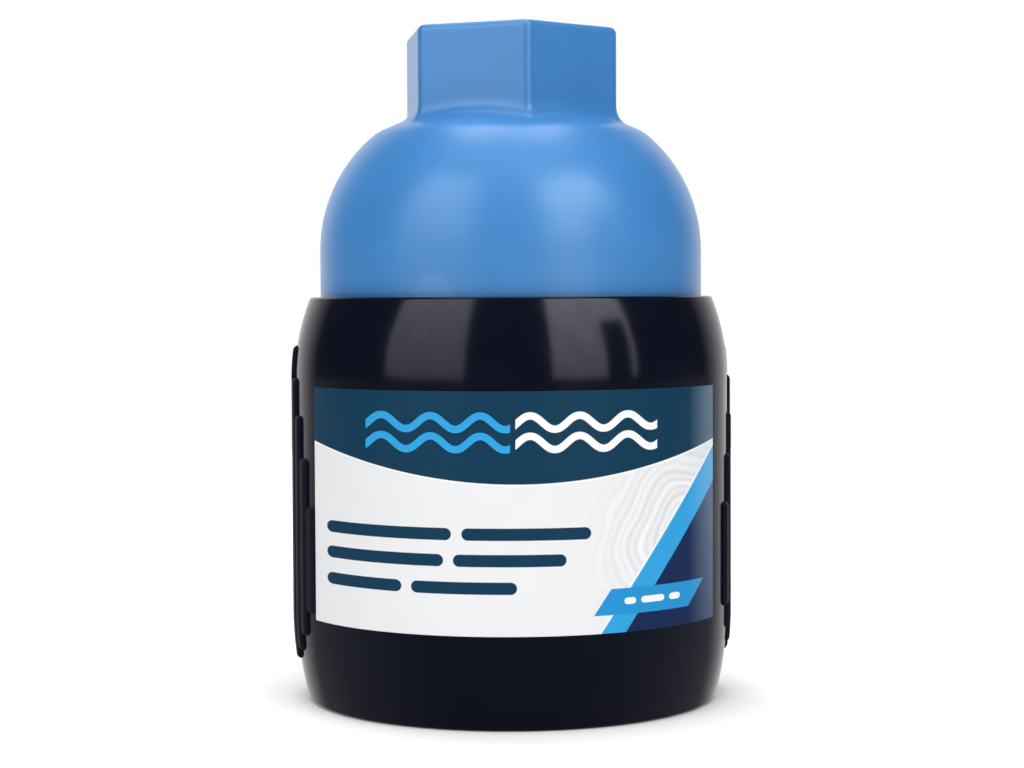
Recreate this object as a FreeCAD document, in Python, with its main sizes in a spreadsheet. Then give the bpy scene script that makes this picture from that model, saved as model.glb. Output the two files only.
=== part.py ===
import FreeCAD, Part
import math
import os
import Sketcher

# Inline water filter for a garden hose: a head screwed into a barrel-shaped bowl around a pleated cartridge.
# Millimetres, +Z up. The origin is on the bowl's axis in the plane of the foot that it stands on.
# -Y is the front, where the label is, and the two grips are on the -X and +X sides.
# Water comes in through the hexagon on top, passes the pleats from outside in, and leaves through the bottom.

V = FreeCAD.Vector

# The driving dimensions: alias, value and meaning, one row each in the document's spreadsheet.
SIZES = {
    "foot_radius": (36.55, "bowl's outside at the foot"),
    "bowl_radius": (38.6, "barrel at its widest"),
    "rim_radius": (35.81, "bowl's outside at the rim"),
    "rim_height": (71.3, "top of the bowl"),
    "barrel_low": (16.0, "lower end of the barrel's straight middle"),
    "barrel_high": (57.0, "upper end of the barrel's straight middle"),
    "lower_sweep": (63.5, "radius of the barrel's lower curve"),
    "upper_sweep": (38.0, "radius of the barrel's upper curve"),
    "foot_round": (0.9, "rounding of the foot's outer edge"),
    "rim_round": (0.8, "rounding of the rim's outer edge"),
    "skirt_radius": (33.5, "inside of the foot at the bottom"),
    "skirt_inner": (35.5, "inside of the outer skin where it is straight"),
    "core_top": (44.0, "top of the hollow between outer skin and chamber"),
    "vessel_radius": (33.5, "outside of the pressure chamber"),
    "floor_bottom": (19.5, "underside of the chamber's floor"),
    "floor_top": (24.0, "inside of the chamber's floor"),
    "floor_bevel": (3.0, "bevel under the chamber's floor"),
    "chamber_radius": (30.2, "inside of the pressure chamber"),
    "chamber_corner": (2.0, "rounding of the chamber's bottom corner"),
    "ledge_height": (45.8, "ledge that the head's skirt stops on"),
    "seal_bore": (32.2, "bore that the housing seal wipes"),
    "seal_bore_top": (55.6, "top of the seal's bore"),
    "thread_bore": (34.0, "bore that carries the bowl's ridges"),
    "thread_bore_low": (57.4, "lower end of the threaded bore"),
    "thread_bore_high": (68.7, "upper end of the threaded bore"),
    "lip_radius": (34.3, "opening around the head at the rim"),
    "lip_low": (69.0, "bottom of the opening around the head"),
    "lip_bevel": (0.5, "bevel inside the rim"),
    "socket_radius": (8.2, "socket for the cartridge's spigot"),
    "socket_bottom": (11.5, "bottom of the spigot's socket"),
    "lead_in": (1.2, "bevel at the mouth of the socket"),
    "outlet_bore": (6.2, "water passage of the outlet"),
    "outlet_end": (1.5, "lower end of the outlet"),
    "outlet_bevel": (0.85, "bevel at the end of the outlet"),
    "outlet_neck": (12.4, "lower end of the neck above the outlet's thread"),
    "neck_radius": (11.8, "that neck"),
    "shank_low": (13.6, "lower end of the plain shank above the neck"),
    "shank_bevel": (0.4, "bevel at the lower end of the shank"),
    "hose_pitch": (2.2087, "garden hose thread, 11.5 turns to the inch"),
    "hose_flank": (1.01, "half width of the thread's groove at its open side"),
    "hose_tip": (0.08, "half width of the thread's groove at its bottom"),
    "male_crest": (13.45, "crest of the outlet's thread, and its shank"),
    "male_root": (12.06, "root of the outlet's thread"),
    "male_length": (12.3, "travel of the outlet's thread groove"),
    "female_crest": (12.2, "crest of the inlet's thread"),
    "female_root": (13.62, "root of the inlet's thread"),
    "female_length": (10.6, "travel of the inlet's thread groove"),
    "gusset_thickness": (1.8, "ribs under the chamber's floor"),
    "lead": (12.0, "travel of the housing thread in one turn, three starts"),
    "ridge_base": (1.35, "half width of a ridge inside its wall"),
    "ridge_crest": (0.5, "half width of a ridge at its crest"),
    "bowl_ridge_crest": (32.6, "crest of the bowl's ridges"),
    "bowl_ridge_foot": (34.3, "where the bowl's ridges end in the wall"),
    "bowl_ridge_low": (58.8, "height of a bowl ridge at its start"),
    "bowl_ridge_rise": (8.5, "height that a bowl ridge climbs"),
    "head_ridge_crest": (33.6, "crest of the head's ridges"),
    "head_ridge_foot": (31.9, "where the head's ridges end in the wall"),
    "head_ridge_low": (60.8, "height of a head ridge at its start"),
    "head_ridge_rise": (7.0, "height that a head ridge climbs"),
    "rib_height": (0.7, "how far a grip rib stands out"),
    "rib_depth": (37.0, "where a rib ends inside the wall"),
    "rib_slope": (0.9, "length of the slope at a rib's ends"),
    "rib_width": (4.15, "width of a rib in degrees"),
    "rib_pitch": (5.2, "angle from rib to rib in degrees"),
    "rib_round": (0.35, "rounding of a rib's crest"),
    "head_radius": (34.0, "outside of the head"),
    "head_step": (69.4, "shoulder between the head's thread and its outside"),
    "dome_start": (79.5, "bottom of the dome"),
    "dome_sweep": (26.6, "radius of the dome's curve"),
    "shoulder_radius": (25.0, "where the dome's curve ends"),
    "shoulder_height": (99.445, "height of that place"),
    "shoulder_bend": (9.0, "radius of the bend between dome and crown"),
    "crown_radius": (22.562, "where the crown starts, a flat cone"),
    "crown_height": (100.981, "height of that place"),
    "crown_end": (12.0, "where the crown ends, inside the hexagon"),
    "crown_top": (105.465, "height of that place"),
    "hexagon_low": (100.5, "bottom of the hexagon, inside the dome"),
    "hexagon_width": (35.0, "hexagon across its flats"),
    "hexagon_turn": (2.5, "how far a corner is turned from the front"),
    "hexagon_corner": (1.6, "rounding of the hexagon's corners"),
    "hexagon_edge": (1.2, "rounding of the hexagon's top edge"),
    "hexagon_fillet": (3.8, "fillet between hexagon and crown"),
    "head_top": (118.4, "top of the hexagon"),
    "skirt_bottom": (46.1, "lower end of the head's skirt"),
    "skirt_bevel": (0.6, "bevel at the end of the skirt"),
    "skirt_outside": (31.9, "outside of the skirt below the thread"),
    "skirt_inside": (27.2, "inside of the skirt"),
    "thread_core": (32.2, "core of the head's thread"),
    "thread_core_low": (56.5, "bottom of the core"),
    "groove_low": (48.6, "lower wall of the seal's groove"),
    "groove_high": (51.9, "upper wall of the seal's groove"),
    "groove_floor": (29.55, "floor of the seal's groove"),
    "cone_low": (66.0, "where the skirt's inside starts to widen"),
    "cone_high": (70.0, "where it has widened"),
    "dome_inside": (30.8, "inside of the head above the skirt"),
    "dome_inside_sweep": (23.4, "radius of the dome's inner curve"),
    "dome_inside_rise": (23.392, "height of the dome's inside at the inlet"),
    "inlet_bore": (8.0, "water passage of the inlet"),
    "washer_seat": (106.6, "seat of the inlet's washer"),
    "washer_recess": (13.1, "recess that holds the washer"),
    "recess_top": (109.6, "top of the washer's recess"),
    "mouth_radius": (13.8, "bevel at the mouth of the inlet"),
    "mouth_bevel": (1.6, "depth of the mouth's bevel"),
    "seal_radius": (30.875, "housing seal, centre of its section"),
    "seal_section": (1.275, "housing seal, radius of its section"),
    "seal_height": (50.25, "height of the housing seal"),
    "label_face": (38.75, "outside of the label"),
    "label_low": (16.0, "bottom of the label"),
    "label_high": (56.0, "top of the label"),
    "label_span": (123.5, "angle that the label covers"),
    "label_turn": (-94.5, "direction of the label's middle from +X"),
    "washer_radius": (12.95, "outside of the inlet's washer"),
    "washer_hole": (9.0, "hole of the washer"),
    "washer_low": (106.65, "underside of the washer"),
    "washer_high": (109.35, "top of the washer"),
    "rim_slot": (10.2, "depth of the slot that holds the strainer"),
    "rim_slot_low": (107.7, "lower wall of that slot"),
    "rim_slot_high": (108.5, "upper wall of that slot"),
    "strainer_outside": (10.1, "outside of the strainer's rim"),
    "strainer_inside": (8.4, "inside of the strainer's rim"),
    "strainer_low": (107.75, "underside of the strainer's rim"),
    "strainer_high": (108.45, "top of the strainer's rim"),
    "wire_diameter": (0.28, "wire of the strainer's mesh"),
    "wire_spacing": (1.05, "wire to wire"),
    "cap_radius": (24.0, "outside of the cartridge's caps and cage"),
    "cap_lip": (22.7, "inside of the caps' lips"),
    "low_cap_bottom": (24.3, "underside of the lower cap"),
    "low_cap_floor": (27.3, "inside of the lower cap"),
    "low_lip_top": (30.3, "top of the lower cap's lip"),
    "high_lip_low": (80.7, "bottom of the upper cap's lip"),
    "high_cap_floor": (83.7, "inside of the upper cap"),
    "high_cap_top": (86.7, "top of the upper cap"),
    "spigot_radius": (7.95, "spigot of the lower cap"),
    "spigot_bore": (4.9, "water passage of the spigot"),
    "spigot_end": (12.2, "lower end of the spigot"),
    "ring_floor": (6.7, "floor of the spigot's ring grooves"),
    "ring_radius": (7.43, "spigot's rings, centre of the section"),
    "ring_section": (0.72, "spigot's rings, radius of the section"),
    "ring_one": (15.3, "height of the lower ring"),
    "ring_two": (19.5, "height of the upper ring"),
    "ring_groove": (1.1, "half width of a ring's groove"),
    "collar_radius": (6.3, "collar and plug that centre the core"),
    "collar_top": (29.8, "top of the lower cap's collar"),
    "plug_low": (81.2, "lower end of the upper cap's plug"),
    "core_inside": (6.4, "inside of the core tube"),
    "core_outside": (8.0, "outside of the core tube"),
    "core_hole": (3.0, "hole of the core tube"),
    "core_step": (6.0, "hole to hole along the core tube"),
    "potting_inside": (8.05, "inside of the potting rings"),
    "potting_outside": (22.6, "outside of the potting rings"),
    "potting_depth": (1.2, "thickness of the potting rings"),
    "cage_inside": (22.6, "inside of the cage"),
    "window_width": (8.6, "window of the cage"),
    "window_height": (8.2, "height of a window"),
    "window_step": (10.0, "window to window along the cage"),
    "fin_radius": (14.0, "fins on the upper cap"),
    "fin_shoulder": (97.3, "where the fins start to narrow"),
    "fin_tip": (10.0, "fins at their top"),
    "fin_top": (101.3, "top of the fins"),
    "fin_thickness": (2.0, "thickness of a fin"),
    "pleat_outside": (22.2, "fold of a pleat, outside"),
    "pleat_inside": (8.6, "fold of a pleat, inside"),
    "paper": (0.65, "pleat's thickness along the radius at a fold"),
}

RIDGE_STARTS = 3
GUSSETS = 8
GUSSET_TURN = 22.5
RIBS_EACH_WAY = 4
RIB_TOPS = (62.8, 5.2, 0.42)  # a rib's top: the middle one's, then how it falls with the count and its square
RIB_FEET = (7.0, 0.62)  # a rib's foot: the middle one's, then how it climbs with the square of the count
CORE_ROWS = 8
WINDOW_ROWS = 5
WINDOW_COLUMNS = 12
PLEATS = 40

doc = FreeCAD.newDocument("inline_water_filter")
sheet = doc.addObject("Spreadsheet::Sheet", "sizes")


def fill_sheet():
    for row, (alias, (value, meaning)) in enumerate(SIZES.items(), 1):
        sheet.set(f"A{row}", alias)
        sheet.set(f"B{row}", str(value))
        sheet.set(f"C{row}", meaning)
        sheet.setAlias(f"B{row}", alias)
    doc.recompute()


def number(total):
    """The value of a sum of sizes and plain numbers, such as "rim_height - lip_bevel"."""
    result, sign = 0.0, 1
    for word in total.split():
        if word in ("+", "-"):
            sign = 1 if word == "+" else -1
        else:
            result += sign * (SIZES[word][0] if word in SIZES else float(word))
    return result


def formula(total):
    """The same sum as an expression on the spreadsheet's cells."""
    return " ".join(f"sizes.{word}" if word in SIZES else word for word in total.split())


def origin_plane(body, role):
    return next(f for f in body.Origin.OriginFeatures if f.Role == role)


def new_body(name):
    return doc.addObject("PartDesign::Body", name)


def new_sketch(body, name, plane="XZ_Plane", turn=0.0):
    """A sketch on one of the body's own planes, turned about the body's axis. On XZ_Plane its y is the height."""
    sketch = body.newObject("Sketcher::SketchObject", name)
    sketch.AttachmentSupport = [(origin_plane(body, plane), "")]
    sketch.MapMode = "FlatFace"
    axis = V(0, 1, 0) if plane == "XZ_Plane" else V(0, 0, 1)
    sketch.AttachmentOffset = FreeCAD.Placement(V(), FreeCAD.Rotation(axis, turn))
    return sketch


def arc_edge(start, end, radius):
    """The short arc from start to end that curves to the left."""
    chord = end - start
    half = chord.Length / 2
    left = V(-chord.y, chord.x, 0).normalize()
    centre = start + chord * 0.5 + left * math.sqrt(max(radius * radius - half * half, 0))
    angles = [math.atan2(p.y - centre.y, p.x - centre.x) for p in (start, end)]
    return Part.ArcOfCircle(Part.Circle(centre, V(0, 0, 1), radius), *angles)


def outline(sketch, corners):
    """Closes a line through the corners. Each is two sums, across and up, and a third one is the radius of
    an arc that leads to the next corner and curves to the left. Every corner and radius is bound to the sheet."""
    points = [V(number(c[0]), number(c[1]), 0) for c in corners]
    for i, corner in enumerate(corners):
        start, end = points[i], points[(i + 1) % len(points)]
        edge = arc_edge(start, end, number(corner[2])) if len(corner) > 2 else Part.LineSegment(start, end)
        sketch.addGeometry(edge, False)
    for i, corner in enumerate(corners):
        sketch.addConstraint(Sketcher.Constraint("Coincident", i, 2, (i + 1) % len(corners), 1))
        pin_corner(sketch, i, corner)
        if len(corner) > 2:
            bind(sketch, Sketcher.Constraint("Radius", i, number(corner[2])), corner[2])


def pin_corner(sketch, edge, corner):
    """Puts an edge's start at its distances from the sketch's axes."""
    for kind, total, other_axis in (("DistanceX", corner[0], -2), ("DistanceY", corner[1], -1)):
        if total == "0":
            sketch.addConstraint(Sketcher.Constraint("PointOnObject", edge, 1, other_axis))
        else:
            bind(sketch, Sketcher.Constraint(kind, -1, 1, edge, 1, number(total)), total)


def bind(sketch, constraint, total):
    index = sketch.addConstraint(constraint)
    sketch.setExpression(f"Constraints[{index}]", formula(total))


def revolve(body, name, corners, kind="PartDesign::Revolution", turn=0.0, angle="360"):
    """Turns an outline about the body's axis: a Revolution adds material and a Groove removes it."""
    sketch = new_sketch(body, name + "_outline", turn=turn)
    outline(sketch, corners)
    feature = body.newObject(kind, name)
    feature.Profile = sketch
    feature.ReferenceAxis = (sketch, ["V_Axis"])
    if angle == "360":
        feature.Angle = 360
    else:
        feature.Midplane = True
        feature.setExpression("Angle", formula(angle))
    doc.recompute()
    return feature


def helix(body, name, kind, corners, pitch, climb):
    """Carries an outline along a right-handed helix about the body's axis."""
    sketch = new_sketch(body, name + "_outline")
    outline(sketch, corners)
    feature = body.newObject(kind, name)
    feature.Profile = sketch
    feature.ReferenceAxis = (sketch, ["V_Axis"])
    feature.Mode = 0
    feature.setExpression("Pitch", formula(pitch))
    feature.setExpression("Height", formula(climb))
    doc.recompute()
    return feature


def pad(body, name, corners, thickness, turn=0.0):
    """A plate of that thickness, centred on a plane through the body's axis."""
    sketch = new_sketch(body, name + "_outline", turn=turn)
    outline(sketch, corners)
    feature = body.newObject("PartDesign::Pad", name)
    feature.Profile = sketch
    feature.Midplane = True
    feature.setExpression("Length", formula(thickness))
    doc.recompute()
    return feature


def around(body, name, feature, count, angle=360):
    """Repeats a feature about the body's axis."""
    pattern = body.newObject("PartDesign::PolarPattern", name)
    pattern.Originals = [feature]
    pattern.Axis = (feature.Profile[0], ["V_Axis"])
    pattern.Angle = angle
    pattern.Occurrences = count
    body.Tip = pattern
    doc.recompute()
    return pattern


def soften(body, name, base, radius, wanted):
    """Rounds the edges of base for which wanted(edge) is true."""
    edges = [f"Edge{i}" for i, edge in enumerate(base.Shape.Edges, 1) if wanted(edge)]
    feature = body.newObject("PartDesign::Fillet", name)
    feature.Base = (base, edges)
    feature.setExpression("Radius", formula(radius))
    doc.recompute()
    return feature


def middle(edge):
    return edge.valueAt((edge.FirstParameter + edge.LastParameter) / 2)


def ring_at(radius, height):
    """Picks the circular edge of that radius and height."""
    def wanted(edge):
        p = middle(edge)
        return abs(math.hypot(p.x, p.y) - number(radius)) < 0.02 and abs(p.z - number(height)) < 0.02
    return wanted


def ridge_outline(crest, foot, height):
    """The section of a housing thread's ridge: a trapezium that narrows from its wall to its crest."""
    return [
        (foot, f"{height} - ridge_base"),
        (crest, f"{height} - ridge_crest"),
        (crest, f"{height} + ridge_crest"),
        (foot, f"{height} + ridge_base"),
    ]


def hose_groove(open_side, bottom, height):
    """The section of a hose thread's groove, which narrows from its open side to its bottom."""
    return [
        (open_side, f"{height} - hose_flank"),
        (bottom, f"{height} - hose_tip"),
        (bottom, f"{height} + hose_tip"),
        (open_side, f"{height} + hose_flank"),
    ]


def make_bowl_shell():
    """The bowl without its grips: barrel, pressure chamber, outlet and the ridges of the housing thread."""
    body = new_body("bowl_shell")
    barrel = revolve(body, "barrel", [
        ("0", "0"),
        ("foot_radius", "0", "lower_sweep"),
        ("bowl_radius", "barrel_low"),
        ("bowl_radius", "barrel_high", "upper_sweep"),
        ("rim_radius", "rim_height"),
        ("0", "rim_height"),
    ])
    foot = soften(body, "foot_edge", barrel, "foot_round", ring_at("foot_radius", "0"))
    soften(body, "rim_edge", foot, "rim_round", ring_at("rim_radius", "rim_height"))
    revolve(body, "chamber", [
        ("0", "0"),
        ("outlet_bore", "0"),
        ("outlet_bore", "socket_bottom"),
        ("socket_radius", "socket_bottom"),
        ("socket_radius", "floor_top - lead_in"),
        ("socket_radius + lead_in", "floor_top"),
        ("chamber_radius - chamber_corner", "floor_top", "chamber_corner"),
        ("chamber_radius", "floor_top + chamber_corner"),
        ("chamber_radius", "ledge_height"),
        ("seal_bore", "ledge_height"),
        ("seal_bore", "seal_bore_top"),
        ("thread_bore", "thread_bore_low"),
        ("thread_bore", "thread_bore_high"),
        ("lip_radius", "lip_low"),
        ("lip_radius", "rim_height - lip_bevel"),
        ("lip_radius + lip_bevel", "rim_height"),
        ("lip_radius + lip_bevel", "rim_height + 1"),
        ("0", "rim_height + 1"),
    ], "PartDesign::Groove")
    revolve(body, "underside", [
        ("0", "-1"),
        ("skirt_radius", "-1"),
        ("skirt_radius", "0"),
        ("skirt_inner", "barrel_low"),
        ("skirt_inner", "core_top"),
        ("vessel_radius", "core_top"),
        ("vessel_radius", "floor_bottom + floor_bevel"),
        ("vessel_radius - floor_bevel", "floor_bottom"),
        ("male_crest", "floor_bottom"),
        ("male_crest", "shank_low"),
        ("neck_radius", "shank_low - shank_bevel"),
        ("neck_radius", "outlet_neck"),
        ("male_crest", "outlet_neck - outlet_bevel"),
        ("male_crest", "outlet_end + outlet_bevel"),
        ("male_crest - outlet_bevel", "outlet_end"),
        ("0", "outlet_end"),
    ], "PartDesign::Groove")
    gusset = pad(body, "gusset", [
        ("vessel_radius - 13.5", "floor_bottom - 1.5"),
        ("vessel_radius - 9.5", "floor_bottom - 7.5"),
        ("skirt_inner + 1.1", "floor_bottom - 7.5"),
        ("skirt_inner + 1.1", "core_top + 0.5"),
        ("vessel_radius - 1.5", "core_top + 0.5"),
        ("vessel_radius - 1.5", "floor_bottom + 1.5"),
        ("vessel_radius - 13.5", "floor_bottom + 1.5"),
    ], "gusset_thickness", GUSSET_TURN)
    around(body, "gussets", gusset, GUSSETS)
    helix(body, "outlet_thread", "PartDesign::SubtractiveHelix",
          hose_groove("male_crest + 0.2", "male_root", "outlet_end - 1.2"), "hose_pitch", "male_length")
    ridge = helix(body, "bowl_ridge", "PartDesign::AdditiveHelix",
                  ridge_outline("bowl_ridge_crest", "bowl_ridge_foot", "bowl_ridge_low"),
                  "lead", "bowl_ridge_rise")
    around(body, "bowl_ridges", ridge, RIDGE_STARTS)
    return body


def make_rib(name, count, direction):
    """One rib of a grip: it follows the barrel from its foot to its top, slopes at both ends and has a round crest."""
    top = RIB_TOPS[0] - RIB_TOPS[1] * abs(count) - RIB_TOPS[2] * count * count
    foot = RIB_FEET[0] + RIB_FEET[1] * count * count
    high, low = top - number("rib_slope"), foot + number("rib_slope")
    straight_low, straight_high = number("barrel_low"), number("barrel_high")
    crest = number("bowl_radius + rib_height")
    corners = [("rib_depth", f"{foot:.3f}"), (f"{barrel_radius(foot) - 0.05:.3f}", f"{foot:.3f}")]
    if low < straight_low:
        corners.append((f"{barrel_radius(low) + number('rib_height'):.3f}", f"{low:.3f}", "lower_sweep + rib_height"))
        low = straight_low
    corners.append((f"{crest}", f"{low:.3f}"))
    if high > straight_high:
        corners.append((f"{crest}", f"{straight_high}", "upper_sweep + rib_height"))
        crest = barrel_radius(high) + number("rib_height")
    corners.append((f"{crest:.3f}", f"{high:.3f}"))
    corners += [(f"{barrel_radius(top) - 0.05:.3f}", f"{top:.3f}"), ("rib_depth", f"{top:.3f}")]
    body = new_body(name)
    bar = revolve(body, name + "_bar", corners, turn=direction, angle="rib_width")
    soften(body, name + "_crest", bar, "rib_round", on_crest)
    return body


def barrel_radius(height):
    """The barrel's outside at a height."""
    sweep, edge = None, 0.0
    if height < number("barrel_low"):
        sweep, edge = number("lower_sweep"), number("barrel_low") - height
    if height > number("barrel_high"):
        sweep, edge = number("upper_sweep"), height - number("barrel_high")
    if sweep is None:
        return number("bowl_radius")
    return number("bowl_radius") - sweep + math.sqrt(sweep * sweep - edge * edge)


def on_crest(edge):
    """Picks the edges that bound a rib's crest."""
    p = middle(edge)
    return math.hypot(p.x, p.y) > barrel_radius(p.z) + 0.6 * number("rib_height")


def make_bowl():
    """The whole moulding: the shell and the two grips of nine ribs, on the -X and +X sides."""
    pieces = [make_bowl_shell()]
    for side in (0, 180):
        for count in range(-RIBS_EACH_WAY, RIBS_EACH_WAY + 1):
            direction = side + count * number("rib_pitch")
            pieces.append(make_rib(f"rib_{side}_{count + RIBS_EACH_WAY}", count, direction))
    bowl = doc.addObject("Part::MultiFuse", "bowl")
    bowl.Shapes = pieces
    doc.recompute()
    return bowl


def hexagon(sketch):
    """A regular hexagon about the origin whose width across the flats is bound to the sheet."""
    corner_radius = number("hexagon_width") / math.sqrt(3)
    corners = [V(corner_radius * math.cos(math.radians(60 * i)), corner_radius * math.sin(math.radians(60 * i)), 0)
               for i in range(6)]
    for i in range(6):
        sketch.addGeometry(Part.LineSegment(corners[i], corners[(i + 1) % 6]), False)
    circle = sketch.addGeometry(Part.Circle(V(), V(0, 0, 1), corner_radius), True)
    sketch.addConstraint(Sketcher.Constraint("Coincident", circle, 3, -1, 1))
    for i in range(6):
        sketch.addConstraint(Sketcher.Constraint("Coincident", i, 2, (i + 1) % 6, 1))
        sketch.addConstraint(Sketcher.Constraint("PointOnObject", i, 1, circle))
    for i in range(5):
        sketch.addConstraint(Sketcher.Constraint("Equal", i, i + 1))
    sketch.addConstraint(Sketcher.Constraint("PointOnObject", 0, 1, -1))
    index = sketch.addConstraint(Sketcher.Constraint("Radius", circle, corner_radius))
    sketch.setExpression(f"Constraints[{index}]", "sizes.hexagon_width / sqrt(3)")


def make_head():
    """The head: skirt with seal groove and thread, dome, hexagon and threaded inlet."""
    body = new_body("head")
    revolve(body, "outside", [
        ("0", "skirt_bottom"),
        ("skirt_outside - skirt_bevel", "skirt_bottom"),
        ("skirt_outside", "skirt_bottom + skirt_bevel"),
        ("skirt_outside", "groove_low"),
        ("groove_floor", "groove_low"),
        ("groove_floor", "groove_high"),
        ("skirt_outside", "groove_high"),
        ("skirt_outside", "thread_core_low - 0.3"),
        ("thread_core", "thread_core_low"),
        ("thread_core", "head_step"),
        ("head_radius", "head_step"),
        ("head_radius", "dome_start", "dome_sweep"),
        ("shoulder_radius", "shoulder_height", "shoulder_bend"),
        ("crown_radius", "crown_height"),
        ("crown_end", "crown_top"),
        ("0", "crown_top"),
    ])
    sketch = new_sketch(body, "hexagon_outline", "XY_Plane", number("hexagon_turn") - 90)
    sketch.setExpression("AttachmentOffset.Base.z", "sizes.hexagon_low")
    hexagon(sketch)
    block = body.newObject("PartDesign::Pad", "hexagon")
    block.Profile = sketch
    block.setExpression("Length", "sizes.head_top - sizes.hexagon_low")
    doc.recompute()
    corners = soften(body, "hexagon_corners", block, "hexagon_corner", hexagon_corner)
    rounded = soften(body, "hexagon_top", corners, "hexagon_edge", lambda e: middle(e).z > number("head_top - 0.01"))
    soften(body, "hexagon_root", rounded, "hexagon_fillet", hexagon_root)
    revolve(body, "inside", [
        ("0", "skirt_bottom - 1"),
        ("skirt_inside", "skirt_bottom - 1"),
        ("skirt_inside", "cone_low"),
        ("dome_inside", "cone_high"),
        ("dome_inside", "dome_start", "dome_inside_sweep"),
        ("inlet_bore", "dome_start + dome_inside_rise"),
        ("inlet_bore", "washer_seat"),
        ("washer_recess", "washer_seat"),
        ("washer_recess", "recess_top"),
        ("female_crest", "recess_top + 0.5"),
        ("female_crest", "head_top - mouth_bevel"),
        ("mouth_radius", "head_top"),
        ("mouth_radius", "head_top + 1"),
        ("0", "head_top + 1"),
    ], "PartDesign::Groove")
    helix(body, "inlet_thread", "PartDesign::SubtractiveHelix",
          hose_groove("female_crest - 0.2", "female_root", "recess_top - 0.6"), "hose_pitch", "female_length")
    ridge = helix(body, "head_ridge", "PartDesign::AdditiveHelix",
                  ridge_outline("head_ridge_crest", "head_ridge_foot", "head_ridge_low"),
                  "lead", "head_ridge_rise")
    around(body, "head_ridges", ridge, RIDGE_STARTS)
    return body


def hexagon_corner(edge):
    """Picks the hexagon's upright edges."""
    ends = [v.Point for v in edge.Vertexes]
    upright = len(ends) == 2 and math.hypot(ends[0].x - ends[1].x, ends[0].y - ends[1].y) < 0.01
    return upright and middle(edge).z > number("hexagon_low") and math.hypot(middle(edge).x, middle(edge).y) > 19


def hexagon_root(edge):
    """Picks the line where the hexagon meets the dome."""
    p = middle(edge)
    return number("hexagon_low") < p.z < number("head_top - 10") and math.hypot(p.x, p.y) > 17


def make_ring(name, radius, section, height):
    """A round rubber ring."""
    ring = doc.addObject("Part::Torus", name)
    ring.setExpression("Radius1", formula(radius))
    ring.setExpression("Radius2", formula(section))
    ring.setExpression("Placement.Base.z", formula(height))
    return ring


def make_label():
    """The printed film around the front of the bowl."""
    body = new_body("label")
    revolve(body, "film", [
        ("bowl_radius", "label_low"),
        ("label_face", "label_low"),
        ("label_face", "label_high"),
        ("bowl_radius", "label_high"),
    ], turn=number("label_turn"), angle="label_span")
    return body


def make_washer():
    """The inlet's rubber washer, with a slot in its hole for the strainer."""
    body = new_body("inlet_washer")
    revolve(body, "washer", [
        ("washer_hole", "washer_low"),
        ("washer_radius", "washer_low"),
        ("washer_radius", "washer_high"),
        ("washer_hole", "washer_high"),
        ("washer_hole", "rim_slot_high"),
        ("rim_slot", "rim_slot_high"),
        ("rim_slot", "rim_slot_low"),
        ("washer_hole", "rim_slot_low"),
    ])
    return body


def make_strainer_rim():
    """The pressed ring that holds the strainer's mesh."""
    body = new_body("strainer_rim")
    revolve(body, "rim", [
        ("strainer_inside", "strainer_low"),
        ("strainer_outside", "strainer_low"),
        ("strainer_outside", "strainer_high"),
        ("strainer_inside", "strainer_high"),
    ])
    return body


def make_strainer_mesh():
    """Two layers of straight wires that cross, each wire ending in the rim."""
    wire = number("wire_diameter") / 2
    reach = number("strainer_inside") + 0.1
    spacing = number("wire_spacing")
    middle_height = number("strainer_low + strainer_high") / 2
    wires = []
    for i in range(int(-reach / spacing), int(reach / spacing) + 1):
        across = i * spacing
        half = math.sqrt(reach * reach - across * across)
        wires.append(Part.makeCylinder(wire, 2 * half, V(-half, across, middle_height + wire), V(1, 0, 0)))
        wires.append(Part.makeCylinder(wire, 2 * half, V(across, -half, middle_height - wire), V(0, 1, 0)))
    mesh = doc.addObject("Part::Feature", "strainer_mesh")
    mesh.Shape = Part.makeCompound(wires)
    return mesh


def ring_groove(height):
    """The corners of a groove for one of the spigot's rings, from below."""
    return [
        ("spigot_radius", f"{height} - ring_groove"),
        ("ring_floor", f"{height} - ring_groove"),
        ("ring_floor", f"{height} + ring_groove"),
        ("spigot_radius", f"{height} + ring_groove"),
    ]


def make_bottom_cap():
    """The cartridge's lower cap, with the spigot that plugs into the bowl's floor."""
    body = new_body("cartridge_bottom_cap")
    revolve(body, "cap", [
        ("spigot_bore", "spigot_end"),
        ("spigot_radius - 0.5", "spigot_end"),
        ("spigot_radius", "spigot_end + 0.5"),
        *ring_groove("ring_one"),
        *ring_groove("ring_two"),
        ("spigot_radius", "low_cap_bottom"),
        ("cap_radius", "low_cap_bottom"),
        ("cap_radius", "low_lip_top"),
        ("cap_lip", "low_lip_top"),
        ("cap_lip", "low_cap_floor"),
        ("collar_radius", "low_cap_floor"),
        ("collar_radius", "collar_top"),
        ("spigot_bore", "collar_top"),
    ])
    return body


def make_top_cap():
    """The cartridge's closed upper cap, with crossed fins that reach up under the head."""
    body = new_body("cartridge_top_cap")
    revolve(body, "cap", [
        ("0", "plug_low"),
        ("collar_radius", "plug_low"),
        ("collar_radius", "high_cap_floor"),
        ("cap_lip", "high_cap_floor"),
        ("cap_lip", "high_lip_low"),
        ("cap_radius", "high_lip_low"),
        ("cap_radius", "high_cap_top"),
        ("0", "high_cap_top"),
    ])
    fin = pad(body, "fin", [
        ("0 - fin_radius", "high_cap_top - 1"),
        ("fin_radius", "high_cap_top - 1"),
        ("fin_radius", "fin_shoulder"),
        ("fin_tip", "fin_top"),
        ("0 - fin_tip", "fin_top"),
        ("0 - fin_radius", "fin_shoulder"),
    ], "fin_thickness")
    around(body, "fins", fin, 4)
    return body


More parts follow.
